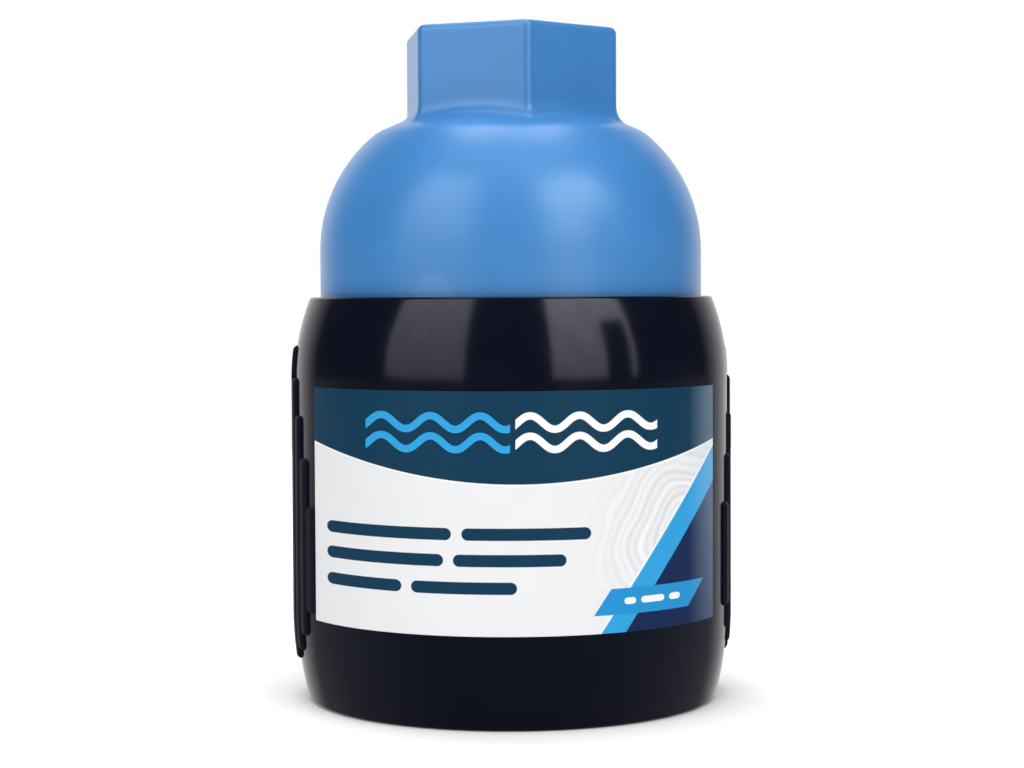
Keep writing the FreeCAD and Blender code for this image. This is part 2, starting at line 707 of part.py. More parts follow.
def make_potting(name, low, high):
    """The ring of cast resin that seals the pleats' ends into a cap."""
    body = new_body(name)
    revolve(body, name + "_ring", [
        ("potting_inside", low),
        ("potting_outside", low),
        ("potting_outside", high),
        ("potting_inside", high),
    ])
    return body


def make_tube(body, inside, outside, low, high):
    return revolve(body, "tube", [(inside, low), (outside, low), (outside, high), (inside, high)])


def pierce(body, name, sketch):
    """Cuts a sketch through the whole body, both ways."""
    pocket = body.newObject("PartDesign::Pocket", name)
    pocket.Profile = sketch
    pocket.Type = 1
    pocket.Midplane = True
    doc.recompute()
    return pocket


def make_core():
    """The perforated tube inside the pleats."""
    body = new_body("cartridge_core")
    make_tube(body, "core_inside", "core_outside", "low_cap_floor", "high_cap_floor")
    sketch = new_sketch(body, "holes_outline")
    first = number("low_cap_floor + 7.2")
    for row in range(CORE_ROWS):
        height = first + row * number("core_step")
        circle = sketch.addGeometry(Part.Circle(V(0, height, 0), V(0, 0, 1), number("core_hole") / 2), False)
        sketch.addConstraint(Sketcher.Constraint("PointOnObject", circle, 3, -2))
        sketch.addConstraint(Sketcher.Constraint("DistanceY", -1, 1, circle, 3, height))
        bind(sketch, Sketcher.Constraint("Diameter", circle, number("core_hole")), "core_hole")
    around(body, "holes", pierce(body, "hole_row", sketch), 3, 180)
    return body


def make_cage():
    """The windowed sleeve around the pleats."""
    body = new_body("outer_cage")
    make_tube(body, "cage_inside", "cap_radius", "low_lip_top", "high_lip_low")
    sketch = new_sketch(body, "windows_outline")
    half_width = number("window_width") / 2
    first = number("low_lip_top + 1.1")
    for row in range(WINDOW_ROWS):
        low = first + row * number("window_step")
        high = low + number("window_height")
        corners = [V(-half_width, low, 0), V(half_width, low, 0), V(half_width, high, 0), V(-half_width, high, 0)]
        for i in range(4):
            sketch.addGeometry(Part.LineSegment(corners[i], corners[(i + 1) % 4]), False)
        for i in range(4):
            sketch.addConstraint(Sketcher.Constraint("Coincident", 4 * row + i, 2, 4 * row + (i + 1) % 4, 1))
    around(body, "windows", pierce(body, "window_column", sketch), WINDOW_COLUMNS // 2, 180)
    return body


def star(points):
    """A closed face through points given as radius and angle in degrees."""
    corners = [V(r * math.cos(math.radians(a)), r * math.sin(math.radians(a)), 0) for r, a in points]
    return Part.Face(Part.makePolygon(corners + corners[:1]))


def make_media():
    """The folded filter sheet: the strip between two stars, flat-tipped where a fold turns and sharp inside it."""
    outside, inside, paper = number("pleat_outside"), number("pleat_inside"), number("paper")
    step = 360 / PLEATS
    outer_points, inner_points = [], []
    for i in range(PLEATS):
        a = i * step
        outer_points += [(outside, a - 0.144 * step), (outside, a + 0.144 * step), (inside + paper, a + 0.5 * step)]
        inner_points += [(inside, a - 0.245 * step), (outside - paper, a), (inside, a + 0.245 * step)]
    low = number("low_cap_floor + potting_depth")
    height = number("high_cap_floor - potting_depth") - low
    strip = star(outer_points).cut(star(inner_points))
    media = doc.addObject("Part::Feature", "pleated_media")
    media.Shape = strip.extrude(V(0, 0, height))
    media.Placement = FreeCAD.Placement(V(0, 0, low), FreeCAD.Rotation())
    return media


def build():
    """Makes every sub-part and returns them. Each one's Label is the name of its file."""
    fill_sheet()
    parts = [
        make_bowl(),
        make_head(),
        make_ring("housing_seal", "seal_radius", "seal_section", "seal_height"),
        make_label(),
        make_washer(),
        make_strainer_rim(),
        make_strainer_mesh(),
        make_bottom_cap(),
        make_top_cap(),
        make_potting("potting_bottom", "low_cap_floor", "low_cap_floor + potting_depth"),
        make_potting("potting_top", "high_cap_floor - potting_depth", "high_cap_floor"),
        make_core(),
        make_cage(),
        make_media(),
        make_ring("spigot_o_ring_lower", "ring_radius", "ring_section", "ring_one"),
        make_ring("spigot_o_ring_upper", "ring_radius", "ring_section", "ring_two"),
    ]
    doc.recompute()
    return parts


def check(parts):
    """Stops if any object failed or any sub-part's shape isn't a whole one."""
    for thing in doc.Objects:
        if "Invalid" in thing.State or "Error" in thing.State:
            raise SystemExit(f"{thing.Label} failed: {thing.State}")
    for part in parts:
        if part.Shape.isNull() or not part.Shape.isValid():
            raise SystemExit(f"{part.Label} has no valid shape")
        print(f"{part.Label:24s} {len(part.Shape.Solids):3d} solids {part.Shape.Volume:10.1f} mm3")


parts = build()
check(parts)
os.makedirs("parts", exist_ok=True)
for part in parts:
    part.Shape.exportStep(f"parts/{part.Label}.step")
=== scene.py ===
import math
import bmesh
import bpy
import numpy as np
from mathutils import Matrix, Vector

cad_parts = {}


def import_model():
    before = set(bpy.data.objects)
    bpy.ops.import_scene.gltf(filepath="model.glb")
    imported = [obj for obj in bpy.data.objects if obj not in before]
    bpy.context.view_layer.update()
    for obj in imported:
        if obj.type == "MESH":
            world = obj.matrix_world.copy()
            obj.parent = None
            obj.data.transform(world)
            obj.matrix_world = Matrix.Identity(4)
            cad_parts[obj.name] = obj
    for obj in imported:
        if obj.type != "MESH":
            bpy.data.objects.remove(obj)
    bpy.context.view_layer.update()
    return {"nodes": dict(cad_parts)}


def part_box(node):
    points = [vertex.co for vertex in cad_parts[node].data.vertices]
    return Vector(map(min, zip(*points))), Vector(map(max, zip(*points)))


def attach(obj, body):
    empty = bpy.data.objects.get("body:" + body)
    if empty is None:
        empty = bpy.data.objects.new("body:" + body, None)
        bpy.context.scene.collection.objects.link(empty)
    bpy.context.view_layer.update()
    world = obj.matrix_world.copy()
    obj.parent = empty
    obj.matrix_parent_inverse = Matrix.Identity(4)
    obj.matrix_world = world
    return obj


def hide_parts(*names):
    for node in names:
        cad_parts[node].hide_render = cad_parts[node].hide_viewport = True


# A hose filter stands on its foot: bowl below, cartridge inside, head screwed in from above. Each section
# below makes one piece, in the order of assembly. Sizes in a section are millimetres, turned to metres where
# a mesh is made. +Z is up, -Y is the front, and the grips are at -X and +X.
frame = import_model()
MM = 0.001

# ---------------------------------------- bowl
# One injection moulding in navy plastic, polished outside. A barrel-shaped skin stands around the pressure
# chamber, and the hollow between them is cored out from below. The outlet hangs from the chamber's floor,
# and three ridges in the bore take the head's thread.
RIM_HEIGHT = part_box("bowl")[1].z / MM
BARREL = {"radius": 38.6, "low": 16.0, "high": 57.0, "lower_sweep": 63.5, "upper_sweep": 38.0}
HOSE = {"pitch": 2.2087, "half_open": 1.01, "half_tip": 0.08}
RIDGE = {"lead": 12.0, "half_base": 1.35, "half_crest": 0.5, "starts": 3, "run_in": 0.05}
BORE = {"wall": 34.0, "low": 57.4, "high": 68.7, "start": 58.8, "climb": 8.5, "crest": 32.6, "foot": 34.3}
OUTLET = {"crest": 13.45, "low": 2.35, "high": 11.55, "start": 0.3, "root": 12.06, "open": 13.65}
STEP = {"ridge": 0.2, "hose": 0.1}
NAVY = (0.0034, 0.0044, 0.0122)


def sweep(centre, radius, start, end, count):
    """Points on an arc about centre: centre + radius (cos a, sin a), with a from start to end in
    radians."""
    a = np.linspace(start, end, count)
    across, up = centre[0] + radius * np.cos(a), centre[1] + radius * np.sin(a)
    return [tuple(p) for p in np.column_stack([across, up])]


def rounded(corners, closed=True, steps=6):
    """A profile through corners (across, up, round). A corner with a round becomes an arc of that radius
    that touches both its sides, and a point just beyond each end of the arc keeps the flats beside it
    flat."""
    points = np.array([c[:2] for c in corners], float)
    line = []
    for i, corner in enumerate(corners):
        radius = corner[2] if len(corner) > 2 else 0
        at_end = not closed and i in (0, len(corners) - 1)
        if not radius or at_end:
            line.append(points[i][None])
            continue
        back, ahead = points[i - 1] - points[i], points[(i + 1) % len(points)] - points[i]
        room = 0.45 * min(np.hypot(*back), np.hypot(*ahead))
        back, ahead = back / np.hypot(*back), ahead / np.hypot(*ahead)
        half = math.acos(np.clip(back @ ahead, -1, 1)) / 2
        reach = min(radius / math.tan(half), room)
        radius = reach * math.tan(half)
        centre = points[i] + (back + ahead) / np.hypot(*(back + ahead)) * radius / math.sin(half)
        turn = math.pi - 2 * half
        t = np.linspace(0, 1, steps)[:, None]
        arc = (np.sin((1 - t) * turn) * (points[i] + back * reach - centre)
               + np.sin(t * turn) * (points[i] + ahead * reach - centre)) / math.sin(turn)
        guard = reach + 0.08 * room
        line.append(np.vstack([points[i] + back * guard, centre + arc, points[i] + ahead * guard]))
    return np.vstack(line)


def span(radius, low, high, step):
    """Points straight up a wall from low to high, about step apart, for a stretch that carries a thread."""
    z = np.linspace(low, high, int(round(abs(high - low) / step)) + 1)
    return [tuple(p) for p in np.column_stack([np.full(len(z), radius), z])]


def at_every_angle(profile, angles):
    """The same rows of (radius, height) at each of the angles."""
    return np.repeat(profile[:, None, :], len(angles), axis=1)


def around(profile, angles):
    """Carries a profile of (radius, height) about the axis: x = radius cos a, y = radius sin a, z = height.
    The radius and height may also differ from angle to angle: rows of profile by columns of angles by 2."""
    if profile.ndim == 2:
        profile = at_every_angle(profile, angles)
    radius, height = profile[..., 0], profile[..., 1]
    return np.stack([radius * np.cos(angles), radius * np.sin(angles), height], axis=-1)


def mesh_from(name, points, faces, crease=40):
    """A smooth-shaded object from points in millimetres. Its faces are turned outwards, and edges that turn
    by more than crease degrees stay sharp."""
    mesh = bpy.data.meshes.new(name)
    mesh.from_pydata((points.reshape(-1, 3) * MM).tolist(), [], faces)
    shell = bmesh.new()
    shell.from_mesh(mesh)
    if shell.calc_volume(signed=True) < 0:
        bmesh.ops.reverse_faces(shell, faces=shell.faces)
    shell.to_mesh(mesh)
    shell.free()
    mesh.polygons.foreach_set("use_smooth", np.ones(len(mesh.polygons), bool))
    mesh.set_sharp_from_angle(angle=math.radians(crease))
    piece = bpy.data.objects.new(name, mesh)
    bpy.context.scene.collection.objects.link(piece)
    return piece


def grid_faces(rows, columns, first=0, ring_rows=True, lids=False):
    """Four-sided faces over a grid whose columns close on themselves. Its rows close too if ring_rows is
    true, and otherwise lids may close the first and the last row with one flat face each."""
    index = first + np.arange(rows * columns).reshape(rows, columns)
    low = index if ring_rows else index[:-1]
    high = np.roll(index, -1, axis=0) if ring_rows else index[1:]
    quads = np.stack([low, np.roll(low, -1, axis=1), np.roll(high, -1, axis=1), high], axis=-1)
    faces = quads.reshape(-1, 4).tolist()
    if lids:
        faces += [index[0][::-1].tolist(), index[-1].tolist()]
    return faces


def lathe(name, profile, angles=None):
    """A closed ring of material: a closed profile of (radius, height) carried all the way about the
    axis."""
    angles = np.linspace(0, 2 * math.pi, 192, endpoint=False) if angles is None else angles
    points = around(profile, angles)
    return mesh_from(name, points, grid_faces(*points.shape[:2]))


def hose_thread(z, a, start, root, open_side):
    """Radius of a hose thread's groove at height z and angle a. Its middle climbs one pitch a turn from
    start, and it slopes from root there to open_side at its edge."""
    pitch = HOSE["pitch"]
    off = np.abs((z - start - pitch * a / (2 * math.pi) + pitch / 2) % pitch - pitch / 2)
    share = (off - HOSE["half_tip"]) / (HOSE["half_open"] - HOSE["half_tip"])
    return root + np.clip(share, 0, None) * (open_side - root)


def ridge_thread(radius, z, a, start, climb, crest, foot):
    """Radius of a wall that carries three ridges, at height z and angle a. Each ridge's middle climbs from
    start by one lead a turn and ends after climb; the wall bends to crest there and back to foot at
    half_base from it."""
    result = radius
    for i in range(RIDGE["starts"]):
        turned = (a - 2 * math.pi * i / RIDGE["starts"]) % (2 * math.pi)
        last = 2 * math.pi * climb / RIDGE["lead"]
        off = np.abs(z - start - RIDGE["lead"] * turned / (2 * math.pi))
        share = np.clip((off - RIDGE["half_crest"]) / (RIDGE["half_base"] - RIDGE["half_crest"]), 0, None)
        wall = crest + share * (foot - crest)
        wall = np.minimum(radius, wall) if crest < foot else np.maximum(radius, wall)
        there = np.clip(turned / RIDGE["run_in"], 0, 1) * np.clip((last - turned) / RIDGE["run_in"], 0, 1)
        result = result + there * (wall - radius)
    return result


def barrel_radius(z):
    """The barrel's outside at height z: straight in the middle, and an arc towards the foot and towards the
    rim."""
    low = np.clip(BARREL["low"] - z, 0, None)
    high = np.clip(z - BARREL["high"], 0, None)
    drop = BARREL["lower_sweep"] - np.sqrt(BARREL["lower_sweep"] ** 2 - low ** 2)
    return BARREL["radius"] - drop - (BARREL["upper_sweep"] - np.sqrt(BARREL["upper_sweep"] ** 2 - high ** 2))


def bowl_profile():
    """The bowl's closed profile, from the foot up the barrel, over the rim, down the bore and through the
    floor to the outlet, and back up inside the hollow."""
    radius, low, high = BARREL["radius"], BARREL["low"], BARREL["high"]
    low_turn = math.asin(low / BARREL["lower_sweep"])
    high_turn = math.asin((RIM_HEIGHT - high) / BARREL["upper_sweep"])
    lower = sweep((radius - BARREL["lower_sweep"], low), BARREL["lower_sweep"], -low_turn, 0, 14)
    upper = sweep((radius - BARREL["upper_sweep"], high), BARREL["upper_sweep"], 0, high_turn, 14)
    foot = [(33.5, 0, 0.3), (*lower[0], 0.9), *lower[1:]]
    barrel = [(radius, 30), (radius, 43), *upper[:-1], (*upper[-1], 0.8)]
    mouth = [(34.8, RIM_HEIGHT, 0.2), (BORE["foot"], RIM_HEIGHT - 0.5, 0.15), (BORE["foot"], 69, 0.1)]
    bore = span(BORE["wall"], BORE["high"], BORE["low"], STEP["ridge"])
    seal_seat = [(32.2, 55.6, 0.2), (32.2, 45.8, 0.15)]
    chamber = [(30.2, 45.8, 0.3), (30.2, 24, 2)]
    socket = [(9.4, 24, 0.3), (8.2, 22.8, 0.2), (8.2, 11.5, 0.2)]
    passage = [(6.2, 11.5, 0.3), (6.2, 1.5, 0.3), (12.6, 1.5, 0.1)]
    thread = span(OUTLET["crest"], OUTLET["low"], OUTLET["high"], STEP["hose"])
    shank = [(11.8, 12.4, 0.2), (11.8, 13.2, 0.2), (13.45, 13.6, 0.15), (13.45, 19.5, 0.8)]
    hollow = [(30.5, 19.5, 0.4), (33.5, 22.5, 0.4), (33.5, 44, 0.5), (35.5, 44, 0.5), (35.5, low)]
    inside = mouth + bore + seal_seat + chamber + socket + passage
    return rounded(foot + barrel + inside + thread + shank + hollow)


def make_bowl():
    """The bowl's profile carried about the axis, with the ridges in the bore and the groove of the outlet's
    thread worked into the radius of the two walls that carry them."""
    profile = bowl_profile()
    angles = np.linspace(0, 2 * math.pi, 216, endpoint=False)
    radius, z, a = profile[:, :1], profile[:, 1:], angles[None]
    in_bore = (np.abs(radius - BORE["wall"]) < 0.1) & (z > BORE["low"] - 0.4) & (z < BORE["high"] + 0.3)
    on_outlet = (radius > 12.5) & (radius < 13.5) & (z < OUTLET["high"] + 0.05)
    bore = ridge_thread(radius, z, a, BORE["start"], BORE["climb"], BORE["crest"], BORE["foot"])
    outlet = np.minimum(radius, hose_thread(z, a, OUTLET["start"], OUTLET["root"], OUTLET["open"]))
    radius = np.where(in_bore, bore, np.where(on_outlet, outlet, radius + 0 * a))
    return mesh_from("bowl_moulding", around(np.stack([radius, z + 0 * a], axis=-1), angles),
                     grid_faces(len(profile), len(angles)))


def feed(socket, value):
    """Links a socket to another one, or sets it to a plain value."""
    if isinstance(value, bpy.types.NodeSocket):
        socket.id_data.links.new(value, socket)
    else:
        socket.default_value = value


def add(tree, kind, inputs=(), **settings):
    """Adds a node, sets its properties, and feeds its inputs by name or, from a list, by place."""
    node = tree.nodes.new("ShaderNode" + kind)
    for key, value in settings.items():
        setattr(node, key, value)
    pairs = inputs.items() if isinstance(inputs, dict) else enumerate(inputs)
    for key, value in pairs:
        feed(node.inputs[key], value)
    return node


def maths(tree, operation, *values):
    """One Math node, and its value."""
    return add(tree, "Math", values, operation=operation).outputs[0]


def times(tree, *values):
    """The product of two values."""
    return maths(tree, "MULTIPLY", *values)


def plus(tree, *values):
    """The sum of two values."""
    return maths(tree, "ADD", *values)


def minus(tree, *values):
    """The first value less the second."""
    return maths(tree, "SUBTRACT", *values)


def between(tree, value, low, high, to_low=0.0, to_high=1.0):
    """Where value lies from low to high, as a number from to_low to to_high, held at both ends."""
    return add(tree, "MapRange", [value, low, high, to_low, to_high]).outputs[0]


def blend_colours(tree, share, under, over):
    """The colour under, covered by the colour over as far as share says."""
    node = add(tree, "Mix", data_type="RGBA")
    feed(node.inputs["Factor"], share)
    feed(node.inputs[6], under)
    feed(node.inputs[7], over)
    return node.outputs[2]


def node_group(name, inputs, outputs):
    """An empty shader node group with those numbers in and those sockets out, and its two end nodes."""
    tree = bpy.data.node_groups.new(name, "ShaderNodeTree")
    for label, default in inputs.items():
        socket = tree.interface.new_socket(label, in_out="INPUT", socket_type="NodeSocketFloat")
        socket.default_value = default
    for label, kind in outputs.items():
        tree.interface.new_socket(label, in_out="OUTPUT", socket_type="NodeSocket" + kind)
    return tree, tree.nodes.new("NodeGroupInput").outputs, tree.nodes.new("NodeGroupOutput").inputs


def make_moulded_skin():
    """The skin of a moulding: fine texture copied from the tool, broad waves where thick walls have sunk,
    and a gloss that differs a little from place to place. Scale is in marks per metre."""
    tree, given, result = node_group(
        "moulded_skin", {"Scale": 900, "Gloss": 0.2, "Spread": 0.05, "Texture": 0.5, "Waves": 1},
        {"Roughness": "Float", "Height": "Float", "Tint": "Float"})
    place = add(tree, "TexCoord").outputs["Object"]
    fine = add(tree, "TexNoise", {"Vector": place, "Scale": given["Scale"], "Detail": 3.0}).outputs[0]
    broad = add(tree, "TexNoise", {"Vector": place, "Scale": 38.0, "Detail": 2.0}).outputs[0]
    cloud = add(tree, "TexNoise", {"Vector": place, "Scale": 120.0, "Detail": 4.0}).outputs[0]
    shift = times(tree, minus(tree, cloud, 0.5), given["Spread"])
    feed(result["Roughness"], plus(tree, given["Gloss"], shift))
    feed(result["Height"], plus(tree, times(tree, fine, given["Texture"]),
                                times(tree, broad, given["Waves"])))
    feed(result["Tint"], between(tree, plus(tree, cloud, broad), 0.7, 1.3))
    return tree


def make_dust():
    """Dust that has settled on what faces up, as a mask: the normal's height, broken up by a fine noise."""
    tree, given, result = node_group("settled_dust", {"Amount": 0.1, "Scale": 2600}, {"Mask": "Float"})
    place = add(tree, "TexCoord").outputs["Object"]
    up = add(tree, "SeparateXYZ", [add(tree, "NewGeometry").outputs["Normal"]]).outputs[2]
    specks = add(tree, "TexNoise", {"Vector": place, "Scale": given["Scale"], "Detail": 2.0}).outputs[0]
    mask = times(tree, between(tree, up, 0.2, 1.0), between(tree, specks, 0.52, 0.68))
    feed(result["Mask"], times(tree, mask, given["Amount"]))
    return tree


MOULDED_SKIN, SETTLED_DUST = make_moulded_skin(), make_dust()
DUST_COLOUR = (0.45, 0.46, 0.48, 1)


def new_material(name):
    """A material with a Principled shader, its node tree and that shader."""
    material = bpy.data.materials.new(name)
    material.use_nodes = True
    return material, material.node_tree, material.node_tree.nodes["Principled BSDF"]


def use_group(tree, group, **values):
    """Places a node group with its values."""
    node = tree.nodes.new("ShaderNodeGroup")
    node.node_tree = group
    for key, value in values.items():
        feed(node.inputs[key.capitalize()], value)
    return node.outputs


def bump(tree, shader, height, distance):
    """Feeds a height in metres times distance to the shader's normal."""
    feed(shader.inputs["Normal"], add(tree, "Bump", {"Height": height, "Distance": distance}).outputs[0])


def moulded_plastic(name, colour, gloss, spread, texture, scale, depth, waves=1.0, tint=0.12, dust=0.1,
                    shine=0.5):
    """A moulded plastic of that colour. tint is how far the colour wanders, and depth the height of its
    skin."""
    material, tree, shader = new_material(name)
    skin = use_group(tree, MOULDED_SKIN, scale=scale, gloss=gloss, spread=spread, texture=texture, waves=waves)
    dull, bright = (tuple(c * s for c in colour) + (1,) for s in (1 - tint, 1 + tint))
    wandering = blend_colours(tree, skin["Tint"], dull, bright)
    mask = use_group(tree, SETTLED_DUST, amount=dust)["Mask"]
    feed(shader.inputs["Base Color"], blend_colours(tree, mask, wandering, DUST_COLOUR))
    feed(shader.inputs["Roughness"], skin["Roughness"])
    feed(shader.inputs["Specular IOR Level"], shine)
    feed(shader.inputs["Specular Tint"], (0.9, 0.92, 1.0, 1))
    bump(tree, shader, skin["Height"], depth)
    return material


def dress(piece, body, material, replaces=()):
    """Gives a new piece its material and body, and hides the CAD nodes that it stands for."""
    piece.data.materials.append(material)
    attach(piece, body)
    if replaces:
        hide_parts(*replaces)


navy_plastic = moulded_plastic("navy_plastic", NAVY, gloss=0.13, spread=0.07, texture=0.12, scale=1500,
                               depth=0.00002, waves=8.0, dust=0.02, shine=0.7)
dress(make_bowl(), "bowl", navy_plastic, ["bowl"])

# ---------------------------------------- gussets
# Eight webs of the same moulding, under the chamber's floor and across the hollow inside the skin. They
# carry the load of the hose from the outlet to the barrel.
GUSSETS = {"count": 8, "turn": 22.5, "thickness": 1.8}


def plates(name, outline, turns, thickness):
    """Flat plates that stand on the axis: an outline of (across, up) at both faces of the thickness, turned
    by each of turns in degrees."""
    across, up = outline.T
    block = np.stack([np.column_stack([across, np.full(len(up), side * thickness / 2), up]) for side in (-1, 1)])
    points, faces = [], []
    for i, turn in enumerate(np.radians(turns)):
        c, s = math.cos(turn), math.sin(turn)
        points.append(block @ np.array([[c, s, 0], [-s, c, 0], [0, 0, 1]]))
        faces += grid_faces(2, len(outline), first=i * 2 * len(outline), ring_rows=False, lids=True)
    return mesh_from(name, np.stack(points), faces, crease=30)


gusset_outline = rounded([(20, 21), (20, 18, 0.6), (24, 12, 1.5), (36.6, 12), (36.6, 44.5), (32, 44.5),
                          (32, 21)], steps=5)
gusset_turns = GUSSETS["turn"] + 360 / GUSSETS["count"] * np.arange(GUSSETS["count"])
dress(plates("bowl_gussets", gusset_outline, gusset_turns, GUSSETS["thickness"]), "bowl",
      navy_plastic)

# ---------------------------------------- grips
# Nine upright ribs on each side, moulded with the bowl. The middle rib is the longest, and the tops fall
# away faster than the feet climb, so each grip has the outline of a flame. Their crests are duller than the
# barrel from handling.
RIBS = {"each_way": 4, "pitch": 5.2, "width": 4.15, "height": 0.7, "sunk": 0.8, "end": 0.9, "narrowing": 0.28}
RIB_FOOT = {"middle": 7.0, "curve": 0.62}
RIB_TOP = {"middle": 62.8, "slope": 5.2, "curve": 0.42}


def rib_ends(count):
    """Heights of a rib's foot and top, count ribs from the middle one. The foot rises with the square of
    count, and the top falls with count and its square."""
    return (RIB_FOOT["middle"] + RIB_FOOT["curve"] * count ** 2,
            RIB_TOP["middle"] - RIB_TOP["slope"] * abs(count) - RIB_TOP["curve"] * count ** 2)


def make_ribs():
    """Each rib is a rounded bar bent onto the barrel. Its section is width degrees across, and its crest
    stands out by height and is rounded off; towards both ends the section sinks along a quarter of an
    ellipse."""
    section = rounded([(-1, 0), (1, 0), (1, 1, 0.4), (-1, 1, 0.4)], steps=5)
    quarter = np.linspace(0, math.pi / 2, 9)
    rise, run = np.sin(quarter), 1 - np.cos(quarter)
    lift = np.concatenate([rise, np.ones(36), rise[::-1]])[:, None]
    narrow = 1 - RIBS["narrowing"] * (1 - lift)
    across = math.radians(RIBS["width"] / 2) * section[None, :, 0] * narrow
    depth, height = RIBS["sunk"], RIBS["height"]
    out = -depth + (depth - 0.05 + (height + 0.05) * lift) * section[None, :, 1]
    points, faces, size = [], [], 0
    for side in (0, 180):
        for count in range(-RIBS["each_way"], RIBS["each_way"] + 1):
            foot, top = rib_ends(count)
            z = np.concatenate([foot + RIBS["end"] * run, np.linspace(foot + 2, top - 2, 36),
                                top - RIBS["end"] * run[::-1]])
            radius = barrel_radius(z)[:, None] + out
            angle = math.radians(side + count * RIBS["pitch"]) + across
            bar = np.stack([radius * np.cos(angle), radius * np.sin(angle), z[:, None] + 0 * angle], axis=-1)
            points.append(bar.reshape(-1, 3))
            faces += grid_faces(*bar.shape[:2], first=size, ring_rows=False, lids=True)
            size += len(points[-1])
    return mesh_from("grip_ribs", np.vstack(points), faces, crease=50)


rib_plastic = moulded_plastic("rib_plastic", (0.0085, 0.0095, 0.02), gloss=0.5, spread=0.1, texture=1.0,
                              scale=2400, depth=0.00003, tint=0.2, dust=0.05, shine=0.14)
dress(make_ribs(), "bowl", rib_plastic)

# ---------------------------------------- label
# A printed film stuck around the bowl's front: a dark band with a water motif above a pale field with faint
# rings of ripples, rounded bars where the lines of print are, and a slanted stripe with a plaque at the
# lower right.
LABEL = {"inside": 38.55, "outside": 38.75, "low": 16.0, "high": 56.0, "middle": -94.5, "span": 123.5}
PRINT = {
    "teal": (0.0048, 0.045, 0.095, 1), "field": (0.83, 0.835, 0.845, 1), "white": (0.93, 0.94, 0.95, 1),
    "sky": (0.028, 0.37, 0.75, 1), "plaque": (0.014, 0.30, 0.66, 1), "night": (0.008, 0.024, 0.095, 1),
}
SLANT = 0.69  # how far the stripe leans across for each millimetre up
STRIPE = {"white": 2.2, "sky": 2.6, "night": 6.8}
PLAQUE = {"low": 19.0, "high": 23.3, "left": -0.7, "right": 15.95}
BAND = {"edge": 40.85, "sag": 5.95, "half_width": 33.9, "outline": 0.3}
RIPPLES = {"x": 29.0, "z": 31.5, "fine": 4.3, "broad": 1.7, "reach": 19.0}
LINES_OF_PRINT = {32.7: [(-31.9, -10.9), (-9.2, 12.0)], 28.4: [(-31.9, -12.2), (-10.6, 7.9)],
                  23.9: [(-31.9, -19.1), (-17.5, -0.2)]}
PLAQUE_MARKS = [(17.6, 19.6), (20.5, 24.6), (25.5, 27.5)]
WAVE_HEIGHTS, WAVE_HALVES = (47.6, 50.9), {"sky": (-25.0, -1.2), "white": (-0.4, 23.4)}
SOFT = 0.03  # half the width of the step at a printed edge


def make_label():
    """A thin curved plate: a rectangle of (radius, height) carried about the axis over the label's span,
    with a flat end at both sides. Its UV map holds the distance across as the front sees it, and the
    height, in millimetres."""
    profile = rounded([(LABEL["inside"], LABEL["low"]), (LABEL["outside"], LABEL["low"], 0.06),
                       *span(LABEL["outside"], 21, 51, 10), (LABEL["outside"], LABEL["high"], 0.06),
                       (LABEL["inside"], LABEL["high"])], steps=4)
    half = math.radians(LABEL["span"] / 2)
    turned = np.linspace(-half, half, 125)
    points = around(profile, turned + math.radians(LABEL["middle"])).transpose(1, 0, 2)
    film = mesh_from("label_film", points, grid_faces(*points.shape[:2], ring_rows=False, lids=True), crease=60)
    height = points[..., 2]
    seen = np.stack([LABEL["outside"] * np.sin(turned)[:, None] + 0 * height, height], axis=-1).reshape(-1, 2)
    corners = np.zeros(len(film.data.loops), np.int32)
    film.data.loops.foreach_get("vertex_index", corners)
    film.data.uv_layers.new(name="print").data.foreach_set("uv", seen[corners].ravel())
    return film


def past(tree, value, edge):
    """1 where value is above edge, with a narrow soft step."""
    return between(tree, value, edge - SOFT, edge + SOFT)


def before(tree, value, edge):
    """1 where value is below edge, with a narrow soft step."""
    return between(tree, value, edge + SOFT, edge - SOFT)


def make_printed_bar():
    """A bar with round ends on the print, as a mask: 1 where the distance to its middle line is under
    Half."""
    tree, given, result = node_group(
        "printed_bar", {"X": 0, "Z": 0, "Left": 0, "Right": 1, "Height": 0, "Half": 0.7}, {"Mask": "Float"})
    start = plus(tree, given["Left"], given["Half"])
    end = minus(tree, given["Right"], given["Half"])
    nearest = maths(tree, "MINIMUM", maths(tree, "MAXIMUM", given["X"], start), end)
    dx = minus(tree, given["X"], nearest)
    dz = minus(tree, given["Z"], given["Height"])
    reach = maths(tree, "SQRT", plus(tree, maths(tree, "POWER", maths(tree, "ABSOLUTE", dx), 2.0),
                                     maths(tree, "POWER", maths(tree, "ABSOLUTE", dz), 2.0)))
    off = minus(tree, reach, given["Half"])
    feed(result["Mask"], before(tree, off, 0.0))
    return tree


def make_wave_line():
    """A wavy stroke on the print, as a mask: 1 where the height above a sine of the distance across is
    under Half, measured square to the stroke."""
    tree, given, result = node_group(
        "wave_line", {"X": 0, "Z": 0, "Height": 0, "Swing": 1.1, "Length": 8.1, "Half": 0.6}, {"Mask": "Float"})
    phase = times(tree, maths(tree, "DIVIDE", given["X"], given["Length"]), 2 * math.pi)
    off = minus(tree, minus(tree, given["Z"], given["Height"]),
                times(tree, maths(tree, "SINE", phase), given["Swing"]))
    slope = maths(tree, "DIVIDE", times(tree, maths(tree, "COSINE", phase), given["Swing"]),
                  maths(tree, "DIVIDE", given["Length"], 2 * math.pi))
    length = maths(tree, "SQRT", plus(tree, times(tree, slope, slope), 1.0))
    off = minus(tree, maths(tree, "DIVIDE", maths(tree, "ABSOLUTE", off), length), given["Half"])
    feed(result["Mask"], before(tree, off, 0.0))
    return tree


